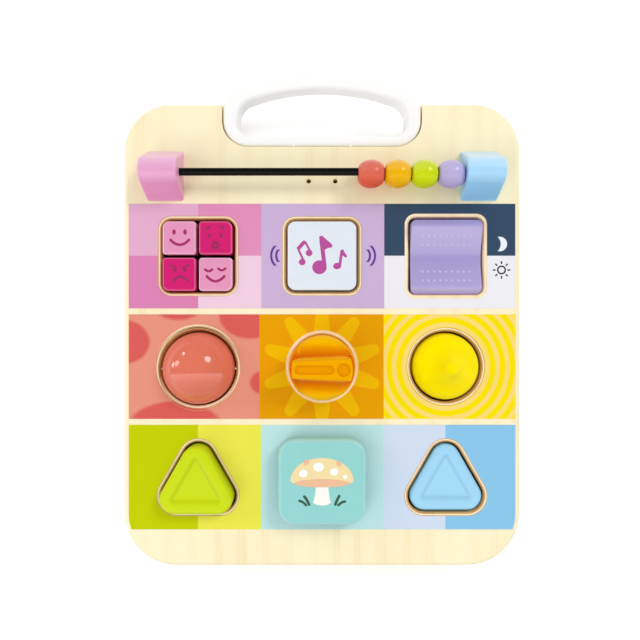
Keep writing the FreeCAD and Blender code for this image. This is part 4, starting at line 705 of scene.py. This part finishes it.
for button, travel in (("music", 3.0), ("block", 4.0)):
    low, high = span(f"{button}_bulb")
    bulb = soft_copy(f"{button}_bulb", f"{button}_squeaker", silicone)
    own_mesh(bulb)
boot_black = skin_finish("boot_silicone", (60, 58, 58), 0.6)
soft_copy("joystick_boot", "boot_folds", boot_black, 0.52)
print("two bulbs and the boot")

# %% [markdown]
# ## Raised print and small shapes
# The faces on the keys and the notes on the button are thick ink that stands a tenth of a
# millimetre proud. A line is a flattened tube that follows a path and closes in round ends, a dot
# is a flat pebble, and a filled figure is a plate. All are closed surfaces, half sunk in the piece
# that carries them and laid on its real top, so that they also follow the rocker's bend.

# %% Closed surfaces from grids of points in millimetres
UP = np.array([0.0, 0.0, 1.0])
INK_HEIGHT = 0.12


def shell(grid, loop=False):
    """Points and quads of a grid whose columns wrap round. Its end rows are poles, or join in a
    loop."""
    rows, columns = grid.shape[:2]
    number = np.arange(rows * columns).reshape(rows, columns)
    if not loop:
        number[0], number[-1] = number[0, 0], number[-1, 0]
    below = number if loop else number[:-1]
    above = np.roll(number, -1, axis=0) if loop else number[1:]
    quads = np.stack([below, np.roll(below, -1, 1), np.roll(above, -1, 1), above], axis=-1)
    return grid.reshape(-1, 3), quads.reshape(-1, 4)


def piece(name, shells, material, body, crease=38):
    """One object from closed shells. A shell whose signed volume is negative is turned inside out,
    and points that no face uses, such as the spare ones of a pole, are left out."""
    points, faces, start = [], [], 0
    for places, quads in shells:
        a, b, c, d = (places[quads[:, corner]] for corner in range(4))
        volume = np.sum(a * np.cross(b, c)) + np.sum(a * np.cross(c, d))
        faces.append((quads if volume > 0 else quads[:, ::-1]) + start)
        points.append(places)
        start += len(places)
    points, faces = np.vstack(points), np.vstack(faces)
    used = np.unique(faces)
    place = np.zeros(len(points), int)
    place[used] = np.arange(len(used))
    mesh = bpy.data.meshes.new(name)
    corners = [list(dict.fromkeys(face)) for face in place[faces].tolist()]
    mesh.from_pydata((points[used] * MM).tolist(), [], corners)
    mesh.shade_smooth()
    mesh.set_sharp_from_angle(angle=math.radians(crease))
    coat(mesh, material)
    made = stand(name, mesh)
    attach(made, body)
    print(name, "rides on", body, "with", len(mesh.polygons), "faces")
    return made


def full_turn(count):
    """Evenly spaced angles of one whole turn in radians, without its end."""
    return np.linspace(0, 2 * math.pi, count, endpoint=False)


def flat_oval(around=10):
    """Section of a line of ink, of half width and height 1: (cos a, sin(a)^0.6 with its sign)."""
    turn = full_turn(around)
    return np.cos(turn), np.sign(np.sin(turn)) * np.abs(np.sin(turn)) ** 0.6


def tube(path, wide, tall=INK_HEIGHT, ends=6):
    """A flattened tube along a path, with half width w(s) = wide * sqrt(1 - (1 - s / wide)^2) near
    its ends and wide between them. Its section is a flat oval."""
    path = np.array([(*point, 0.0) for point in path], float)
    run = np.concatenate([[0], np.cumsum(np.linalg.norm(np.diff(path, axis=0), axis=1))])
    lift = np.linspace(0, math.pi / 2, ends)
    near = wide * (1 - np.cos(lift))
    middle = np.linspace(wide, run[-1] - wide, 3 + int(run[-1] / wide))[1:-1]
    stops = np.concatenate([near, middle, run[-1] - near[::-1]])
    share = np.concatenate([np.sin(lift), np.ones(len(middle)), np.sin(lift)[::-1]])
    line = np.stack([np.interp(stops, run, path[:, axis]) for axis in range(3)], axis=1)
    along = np.gradient(line, axis=0)
    along /= np.linalg.norm(along, axis=1)[:, None]
    across = np.cross(UP, along)
    beside, rise = (part[None, :, None] for part in flat_oval())
    section = wide * beside * across[:, None] + tall * rise * UP
    return shell(line[:, None] + share[:, None, None] * section)


def hoop(x, y, radius, wide, count=28):
    """A ring of the same flat oval section, closed on itself."""
    round_about = full_turn(count)[:, None]
    beside, rise = flat_oval()
    reach = radius + wide * beside
    height = INK_HEIGHT * rise + 0 * round_about
    ring = [x + reach * np.cos(round_about), y + reach * np.sin(round_about), height]
    return shell(np.stack(ring, -1), True)


def pebble(x, y, wide, long, tall=INK_HEIGHT, lean=0.0, around=24, rows=9):
    """A flat oval dot: radius sin(b)^0.5 and height tall * cos(b) as b runs from its top to its
    foot. Lean turns it counter-clockwise, in degrees."""
    drop = np.linspace(0, math.pi, rows)[:, None]
    turn = full_turn(around)[None, :]
    reach = np.sqrt(np.abs(np.sin(drop)))
    across, up = wide * reach * np.cos(turn), long * reach * np.sin(turn)
    tilt = math.radians(lean)
    return shell(np.stack([
        x + across * math.cos(tilt) - up * math.sin(tilt),
        y + across * math.sin(tilt) + up * math.cos(tilt),
        tall * np.cos(drop) + 0 * across,
    ], -1))


def plate(outline, centre, tall=INK_HEIGHT):
    """A filled figure whose whole outline can be seen from its centre, with a soft top edge."""
    outline, centre = np.array(outline, float), np.array(centre, float)
    rows = [(0.0, 1.0), (0.5, 1.0), (0.93, 1.0), (1.0, 0.6), (1.0, -1.0), (0.5, -1.0), (0.0, -1.0)]
    grid = np.zeros((len(rows), len(outline), 3))
    for row, (share, height) in zip(grid, rows):
        row[:, :2] = centre + share * (outline - centre)
        row[:, 2] = tall * height
    return shell(grid)


def bow(start, end, sag, count=13):
    """A path from start to end whose middle sags: y(t) = line(t) - 4 * sag * t * (1 - t)."""
    share = np.linspace(0, 1, count)[:, None]
    line = np.array(start) * (1 - share) + np.array(end) * share
    return line - np.hstack([0 * share, 4 * sag * share * (1 - share)])


def laid_on(node, shells, place=None):
    """Moves flat shells to a place, or to the middle of a piece, and lifts every point by the
    height of the piece's top below it. The ray runs a hair beside the point, to miss the edges."""
    hair, start_height = 1e-6, 1.0
    x, y = middle_of(node)[:2] if place is None else place
    mesh = nodes[node].data
    corners = [corner.co for corner in mesh.vertices]
    tree = BVHTree.FromPolygons(corners, [face.vertices for face in mesh.polygons])
    laid = []
    for points, quads in shells:
        moved = points + np.array([x, y, 0.0])
        for point in moved:
            start = Vector((point[0] * MM + hair, point[1] * MM + hair, start_height))
            point[2] += tree.ray_cast(start, Vector((0, 0, -1)))[0].z / MM
        laid.append((moved, quads))
    return laid


# %% Countersunk screws with a cross in their heads, seen from behind


def screw_places(node, apart=8.0):
    """Middles of the screws that share a node, from the rims of their heads on the back face."""
    rims = np.array([corner.co for corner in nodes[node].data.vertices]) / MM
    rims = rims[rims[:, 2] < 0.01, :2]
    places = []
    while len(rims):
        near = np.linalg.norm(rims - rims[0], axis=1) < apart
        places.append((rims[near].min(0) + rims[near].max(0)) / 2)
        rims = rims[~near]
    return places


def screw(x, y, length, head=3.4, shank=1.6, tip=0.8, sink=2.2, taper=4.0):
    """A screw whose face has a cross sunk into it. With p the smaller and q the larger of |x| and
    |y|, depth = 1.3 * wall(0.62 - p) * wall(2.3 - q), and wall rises from 0 to 1 over 0.25 mm."""
    deep, half_arm, arm, slope = 1.3, 0.62, 2.3, 0.25
    turn = full_turn(72)
    reach = np.concatenate([np.linspace(0, 2.6, 18), [3.0, head - 0.1]])[:, None]
    across, up = np.abs(reach * np.cos(turn)), np.abs(reach * np.sin(turn))
    beside = np.clip((half_arm - np.minimum(across, up)) / slope, 0, 1)
    along = np.clip((arm - np.maximum(across, up)) / slope, 0, 1)
    face = [x + reach * np.cos(turn), y + reach * np.sin(turn), deep * beside * along]
    side = np.array([
        (head, 0.1), (shank, sink), (shank, length - taper), (tip, length - 1.0), (0.0, length),
    ])[:, :, None]
    wide, height = side[:, 0], side[:, 1]
    body = [x + wide * np.cos(turn), y + wide * np.sin(turn), height + 0 * turn]
    return shell(np.concatenate([np.stack(face, -1), np.stack(body, -1)]))


for node, length in (("panel_screws", 14.0), ("handle_screws", 15.0)):
    heads = [screw(*place, length) for place in screw_places(node)]
    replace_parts(piece(f"cross_head_{node}", heads, screw_steel, "board"), node)

# %% [markdown]
# ## Rounded outlines: keys, triangles, lips
# Every opening and most buttons share one idea: an outline made of corner arcs, which keeps its
# shape when it is drawn further in or out. A button is a stack of such outlines from its middle
# over its soft edge and down its wall. Round each opening a lip of wood leans into the gap and
# stands in for the gap's wall: brown round all but two of them, partly a browned cut edge and
# partly painted shade, and cream round the knob and the rocker, a painted light. The sheets show a
# thin brown line at the cut.

# %% Outlines whose inset may change
LEAST_BEND = 0.35


def square(width, height, outer, inner=None):
    """A rounded rectangle: corner radius max(r - inset, 0.35), walls at half the size less the
    inset. The upper left corner is the outer one, the other three are inner if those differ."""
    radii = (inner or outer, outer, inner or outer, inner or outer)
    sides = ((1, 1, 0), (-1, 1, 90), (-1, -1, 180), (1, -1, 270))

    def corners(inset):
        places = []
        for (right, up, start), radius in zip(sides, radii):
            bend = max(radius - inset, LEAST_BEND)
            x, y = right * (width / 2 - inset - bend), up * (height / 2 - inset - bend)
            places.append((x, y, bend, start, start + 90))
        return places

    return corners, (0.0, 0.0)


def circle(radius):
    """A circle is one corner that goes all the way round."""
    return (lambda inset: [(0.0, 0.0, radius - inset, 0, 360)]), (0.0, 0.0)


def triangle():
    """Three corners of radius 9.3 whose centres shrink towards the incentre once their arcs are
    used up: share = 1 - (inset - what the radius has given up) / inradius."""
    half, rise, bend, slant = 13.7, 11.95, 9.3, 29.82
    middle, inradius = -4.013, 7.937
    places = (
        (half, -rise, -90, slant), (0.0, rise, slant, 180 - slant),
        (-half, -rise, 180 - slant, 270),
    )

    def corners(inset):
        radius = max(bend - inset, LEAST_BEND)
        share = 1 - (inset - bend + radius) / inradius
        return [(x * share, middle + (y - middle) * share, radius, *arc) for x, y, *arc in places]

    return corners, (0.0, middle)


def walk(shape, inset, height, count=10):
    """Points of an outline at one inset and height. An inset of None gives its middle, a pole."""
    corners, middle = shape
    points = []
    for x, y, radius, first, last in corners(inset or 0.0):
        whole = last - first == 360
        steps = np.linspace(first, last, 9 * count if whole else count, endpoint=not whole)
        turn = np.radians(steps)
        points.append(np.column_stack([x + radius * np.cos(turn), y + radius * np.sin(turn)]))
    points = np.vstack(points)
    if inset is None:
        points[:] = middle
    return np.column_stack([points, np.full(len(points), float(height))])


def stack(shape, rows, x, y, z, loop=False, flip=(1, 1)):
    """A closed surface from (inset, height) rows, mirrored by flip and moved to its place."""
    grid = np.stack([walk(shape, inset, height) for inset, height in rows])
    return shell(grid * [*flip, 1] + [x, y, z], loop)


def soft_edge(radius, drop=0.0, count=7):
    """Rows of a quarter round: inset r (1 - sin a), height r (cos a - 1)."""
    turn = np.linspace(0, math.pi / 2, count)
    return [(radius * (1 - math.sin(a)), radius * (math.cos(a) - 1) - drop) for a in turn]


# %% Four keys with slightly domed tops, hollow below
KEYS = {
    "smile": (-1, 1, "key_pink"), "surprise": (1, 1, "key_magenta"),
    "angry": (-1, -1, "key_magenta"), "calm": (1, -1, "key_pink"),
}
LOWS, HIGHS = zip(*(span(f"key_{name}") for name in KEYS))
KEYS_X, KEYS_Y = (np.min(LOWS, 0) + np.max(HIGHS, 0))[:2] / 2 / MM
KEY_STEP, KEY_DROP = 11.575, 0.3
KEY_TOP = top_of("key_smile")
KEY_SHAPE = square(21.2, 21.2, 4.2, 2.0)
SKIRT, ROOF = -12.8, -5.0
KEY_ROWS = [
    (None, 0.0), (7.0, -0.02), (3.0, -0.08), *soft_edge(1.3, 0.12), (0.1, -8.0),
    (0.3, SKIRT), (1.6, SKIRT), (1.8, ROOF), (None, ROOF),
]
# The keys' rounded edges are painted paler, a painted highlight.
FINISHES = {
    "key_pink": skin_finish("key_pink", (230, 150, 189), depth=0.000001, painted_edge_highlight=0.3),
    "key_magenta": skin_finish(
        "key_magenta", (213, 20, 112), depth=0.000001, painted_edge_highlight=0.12, specular_ior_level=0.3),
}
for name, (across, up, slot) in KEYS.items():
    x, y = KEYS_X + across * KEY_STEP, KEYS_Y + up * KEY_STEP - KEY_DROP
    cap = stack(KEY_SHAPE, KEY_ROWS, x, y, KEY_TOP, flip=(-across, up))
    made = piece(f"keycap_{name}", [cap], FINISHES[slot], f"key_{name}")
    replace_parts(made, f"key_{name}")

# %% Two triangles with a shallow triangular dish
DISH = [
    (10.0 - 4.4 * share, -0.6 * (1 + math.cos(math.pi * share))) for share in np.linspace(0, 1, 13)]
TRIANGLE_ROWS = [
    (None, -1.2), (14.0, -1.2), *DISH, (4.0, 0.02), *soft_edge(2.0, count=9),
    (0.0, -14.0), (2.0, -14.0), (None, -14.0),
]
STEM_RADIUS, STEM_TOP = 5.0, -13.0
TRIANGLES = {
    "green": ("triangle_lime", (203, 222, 0), 0.2), "blue": ("triangle_blue", (156, 213, 243), 0.4),
}


def dish_with_painted_shade(colour, top):
    """A colour maker: the button's own colour on top, with painted shade a little deeper on the
    slopes into the dish and down the walls. The stops count from the top, in parts of 2 mm."""
    pale, deep = screen(colour), screen(0.955 * np.array(colour))
    stops = [(0.05, pale), (0.25, deep), (0.45, deep), (0.59, pale), (0.62, pale), (0.8, deep)]
    return lambda place: ramp((top * MM - axes(place)[2]) / (2 * MM), stops)


for name, (slot, colour, level) in TRIANGLES.items():
    node = f"{name}_triangle"
    x, y, _ = middle_of(node)
    top = top_of(node)
    foot = float(span(node)[0][2] / MM) - top
    stem_rows = [(None, STEM_TOP), (3.5, STEM_TOP), (0.0, STEM_TOP), (0.0, foot), (None, foot)]
    stem = stack(circle(STEM_RADIUS), stem_rows, x, y, top)
    button = stack(triangle(), TRIANGLE_ROWS, x, y, top)
    finish = skin_finish(slot, dish_with_painted_shade(colour, top), 0.26, specular_ior_level=level)
    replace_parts(piece(f"button_{name}", [button, stem], finish, node), node)

# %% Four wooden beads that hang on the rod by wide bores
BEADS = {
    "red": (222, 108, 88), "orange": (241, 182, 8), "lime": (204, 221, 26),
    "purple": (188, 177, 220),
}
CROWN, CORNER, BORE, WAIST, HANG = 11.0, 4.2, 4.0, 8.7, 1.45


def bead_profile(half):
    """Closed outline of a bead: a crown arc, two corner arcs tangent to it, and the bore."""
    x, heart = half - CORNER, WAIST - CROWN
    y = heart + math.sqrt((CROWN - CORNER) ** 2 - x ** 2)
    meet, end = math.atan2(y - heart, x), math.asin((BORE - y) / CORNER)
    right = [
        (x + CORNER * math.cos(a), y + CORNER * math.sin(a)) for a in np.linspace(end, meet, 8)]
    crown = [
        (CROWN * math.cos(a), heart + CROWN * math.sin(a))
        for a in np.linspace(meet, math.pi - meet, 17)]
    left = [(-x, y) for x, y in reversed(right)]
    bore = [(share * right[0][0], BORE) for share in (-0.5, 0.0, 0.5)]
    return np.array(right + crown[1:-1] + left + bore)


for name, colour in BEADS.items():
    node = f"bead_{name}"
    low, high = span(node)
    x, y, z = middle_of(node)
    profile = bead_profile((high[0] - low[0]) / 2 / MM)
    turn = full_turn(56)[None, :]
    along, reach = profile[:, :1], profile[:, 1:]
    grid = [x + along + 0 * turn, y - HANG + reach * np.cos(turn), z + reach * np.sin(turn)]
    # The beads are painted a little paler where they face the top of the board and deeper below, a
    # painted light and shade.
    finish = skin_finish(node, colour, 0.22, lean=0.1, specular_tint=mix_white(colour, 0.3))
    bead = shell(np.stack(grid, -1), True)
    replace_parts(piece(f"wooden_bead_{name}", [bead], finish, node, crease=50), node)

# %% Lips and cut lines round eight openings
CUT = [(-1.7, -0.1), (-1.7, 0.18), (-1.8, 0.28), (-2.0, 0.28), (-2.1, 0.2), (-2.0, -0.1)]
OPENINGS = {
    "keys": (square(47.35, 47.35, 6.7), KEYS_X, ROWS[0], 0.5),
    "music": (square(47, 47, 6.6), 0, ROWS[0], 0.75),
    "rocker": (square(48.6, 50.1, 4.85), PITCH, ROWS[0], 0.7),
    "ball": (circle(25.1), -PITCH, -31.0, 1.3),
    "joystick": (circle(23.05), PITCH, -29.8, 0.6),
    "knob": (circle(21.25), 0, -29.8, 0.7),
    "green": (triangle(), -PITCH, ROWS[2], 0.35),
    "blue": (triangle(), PITCH, ROWS[2], 0.35),
}
TRIANGLE_GAP = 1.6


def lip_rows(slope, steep):
    """Section of a lip: a rounded top, then a wall that leans into the gap by the given slope and
    is steep times as high."""
    foot = -0.3 - steep * slope
    return [
        (slope, foot - 0.5), (slope, foot), (0.0, -0.3), (-0.14, -0.08), (-0.35, 0.05),
        (-0.6, 0.04), (-0.8, -0.06), (-0.5, foot - 0.5),
    ]


# Painted shade and light: the brown lips stand for the gap's wall in shade, partly also a browned
# cut edge, and the cream ones for that wall where it is lit.
browned_and_painted_shade = maple_finish("maple_browned_painted_shade", (214, 166, 108), (172, 118, 66), 0.7)
creamy_painted_light = maple_finish("maple_creamy_painted_light", (254, 226, 190), (240, 196, 150))
for name, (shape, x, y, slope) in OPENINGS.items():
    wider = TRIANGLE_GAP if name in TRIANGLES else 0.0
    # Cream, a painted light, round the knob and the rocker; brown, partly painted shade, round the
    # rest.
    wood = creamy_painted_light if name in ("knob", "rocker") else browned_and_painted_shade
    steep = 1.0 if name == "knob" else 2.2
    rings = []
    for section in (lip_rows(slope, steep), CUT):
        rows = [(inset - wider, height) for inset, height in section]
        rings.append(stack(shape, rows, x, y, FACE, True))
    piece(f"lip_{name}", rings, wood, "board")

# %% Faces on the four keys
FACES = {
    "smile": [
        pebble(-3.1, 3.3, 1.15, 1.7), pebble(3.9, 3.3, 1.15, 1.7),
        tube(bow((-5.9, -1.0), (7.0, -1.0), 3.8), 0.85),
    ],
    "surprise": [
        tube(bow((-6.6, 4.4), (-3.2, 6.6), -0.4), 0.7),
        tube(bow((2.4, 6.8), (5.8, 4.7), -0.4), 0.7),
        pebble(-3.8, 1.0, 1.2, 1.5), pebble(3.4, 1.1, 1.2, 1.5), hoop(0.1, -5.2, 1.8, 0.95),
    ],
    "angry": [
        tube([(-5.9, 5.4), (-1.2, 3.4)], 0.75), tube([(2.0, 3.4), (6.7, 5.6)], 0.75),
        pebble(-2.6, 2.3, 1.2, 1.4), pebble(3.5, 2.3, 1.2, 1.4),
        tube(bow((-3.8, -5.2), (5.6, -5.2), -3.4), 0.85),
    ],
    "calm": [
        tube(bow((-7.0, 3.3), (-1.5, 3.3), 1.7), 0.75),
        tube(bow((1.3, 3.9), (6.8, 3.9), 1.7), 0.75),
        tube(bow((-6.0, -0.9), (6.2, -0.9), 3.9), 0.85),
    ],
}
INK = {
    "key_pink": skin_finish("ink_plum", (168, 30, 98), 0.4, 0.1),
    "key_magenta": skin_finish("ink_wine", (160, 18, 88), 0.4, 0.1),
}
for name, marks in FACES.items():
    across, up, slot = KEYS[name]
    lines = laid_on(f"key_{name}", marks, (KEYS_X + across * KEY_STEP, KEYS_Y + up * KEY_STEP))
    piece(f"face_{name}", lines, INK[slot], f"key_{name}")

# %% Three notes on the white button
LONG_FLAG = [
    (-1.8, 11.4), (-1.4, 12.4), (0.1, 12.6), (3.2, 9.9), (6.2, 7.3), (6.6, 6.2), (6.1, 5.1),
    (3.8, 4.9), (2.0, 3.8), (-0.6, 3.8),
]
SHORT_FLAG = [
    (11.9, 3.4), (12.6, 4.0), (13.6, 3.7), (14.4, 2.0), (15.8, 0.2), (15.7, -1.2), (14.8, -1.2),
    (13.5, -0.2), (12.2, 0.4),
]
notes = [
    pebble(-1.65, -7.4, 4.6, 4.45), tube([(1.7, -7.6), (-0.5, 11.2)], 1.35),
    plate(LONG_FLAG, (1.2, 8.0)),
    pebble(-12.6, -4.1, 2.15, 2.1), pebble(-8.2, 1.7, 2.15, 2.1),
    tube([(-15.6, 3.9), (-10.6, 9.3)], 1.2),
    tube([(-15.2, 4.3), (-11.2, -4.2)], 0.72), tube([(-10.8, 9.0), (-6.9, 1.6)], 0.72),
    pebble(9.65, -6.6, 2.6, 2.1, lean=12), tube([(11.2, -6.8), (12.6, 3.6)], 0.9),
    plate(SHORT_FLAG, (13.3, 1.6)),
]
ink_purple = skin_finish("ink_purple", (184, 72, 154), 0.4, 0.1)
piece("music_notes", laid_on("music_button", notes), ink_purple, "music_button")

# %% Four rows of nine dots on the rocker
DOT_STEP, DOT_SHIFT, DOT_RADIUS, DOT_HEIGHT = 3.77, -1.4, 0.72, 0.16
DOT_ROWS = (-14.05, -8.4, 8.4, 14.05)
dots = [
    pebble(DOT_STEP * place, DOT_SHIFT + up, DOT_RADIUS, DOT_RADIUS, DOT_HEIGHT, around=12, rows=7)
    for place in range(-4, 5) for up in DOT_ROWS]
dot_lilac = skin_finish("dot_lilac", (196, 188, 228), drift=0.05)
piece("rocker_dots", laid_on("rocker", dots), dot_lilac, "rocker")

# %% [markdown]
# ## The picture on the square block
# The block carries one small friendly picture in cream, peach, white and dark green. Here it is a
# toadstool on a little grass: a wide cap with spots, a stem, and a few blades. What lies over
# another part stands a few hundredths of a millimetre higher.

# %% A toadstool in flat plates


def cap_outline(wide, tall, foot, count=48):
    """A half oval over a flat foot: r = (wide cos a, tall sin a) above, and a shallow bow below."""
    turn = full_turn(count)
    upper = np.column_stack([wide * np.cos(turn), tall * np.sin(turn)])
    lower = np.column_stack([wide * np.cos(turn), foot * np.sin(turn)])
    return np.where(np.sin(turn)[:, None] > 0, upper, lower)


HALF_STEM = [(4.4, 2.0), (3.9, -4.0), (4.6, -9.0), (5.6, -12.6), (3.0, -13.9)]
STEM = [(-x, y) for x, y in HALF_STEM] + [(0.0, -14.2)] + HALF_STEM[::-1]
SPOTS = (
    (-11.6, 5.6, 3.1, 2.7, 20), (-2.2, 9.6, 3.9, 3.2, 0), (7.6, 6.6, 2.9, 2.7, 0),
    (14.2, 3.6, 1.7, 1.5, 0),
)
BLADES = (
    ((-7.8, -14.4), (-11.6, -8.2), 0.85), ((-9.4, -14.6), (-14.8, -11.4), 0.75),
    ((8.0, -14.4), (11.2, -7.8), 0.85), ((9.6, -14.6), (15.0, -11.8), 0.75),
)
PICTURE = {
    "motif_stem": ((250, 248, 240), [plate(STEM, (0, -6), 0.1)]),
    "motif_cap": ((243, 221, 165), [
        plate(cap_outline(19.5, 14.0, 4.2) + [0, 1.2], (0, 3.0), 0.14)]),
    "motif_blush": ((238, 188, 150), [
        plate(cap_outline(17.4, 2.6, 2.6) + [0, -0.4], (0, -0.4), 0.18),
        pebble(-9.6, 12.2, 2.6, 1.7, 0.18, 38), pebble(10.4, 11.4, 2.4, 1.6, 0.18, -42),
    ]),
    "motif_spots": ((254, 254, 250), [
        pebble(x, y, wide, long, 0.2, lean) for x, y, wide, long, lean in SPOTS]),
    "motif_grass": ((38, 84, 58), [
        tube(bow(start, end, -0.9), wide, 0.16) for start, end, wide in BLADES]),
}
for name, (colour, figures) in PICTURE.items():
    finish = skin_finish(f"print_{name}", colour, 0.5)
    piece(name, laid_on("block_cap", figures), finish, "block_cap")

# %% [markdown]
# ## Floor
# The board lies on a white table. The table keeps the soft shadow round the board and stays as
# bright as the white around it in the photograph, by a faint glow that only the camera sees.

# %% Table
HALF_TABLE = 6.0
table = bpy.data.meshes.new("table")
corners = [(x * HALF_TABLE, y * HALF_TABLE, 0) for x, y in ((-1, -1), (1, -1), (1, 1), (-1, 1))]
table.from_pydata(corners, [], [(0, 1, 2, 3)])
floor = stand("table", table)


def table_finish():
    """Two whites so close that the table reads as one, and the glow."""
    material, shader, place = new_finish("table_white", 0.9, specular_ior_level=0.0)
    white = mix(noise(place, 8.0), screen((250, 250, 250)), screen((253, 253, 253)))
    feed(shader.inputs["Base Color"], white)
    feed(shader.inputs["Emission Color"], WHITE)
    seen = field(place.tree, "LightPath", output="Is Camera Ray")
    feed(shader.inputs["Emission Strength"], seen * 0.25)
    return material


table.materials.append(table_finish())
print("the table is", 2 * HALF_TABLE, "m wide")
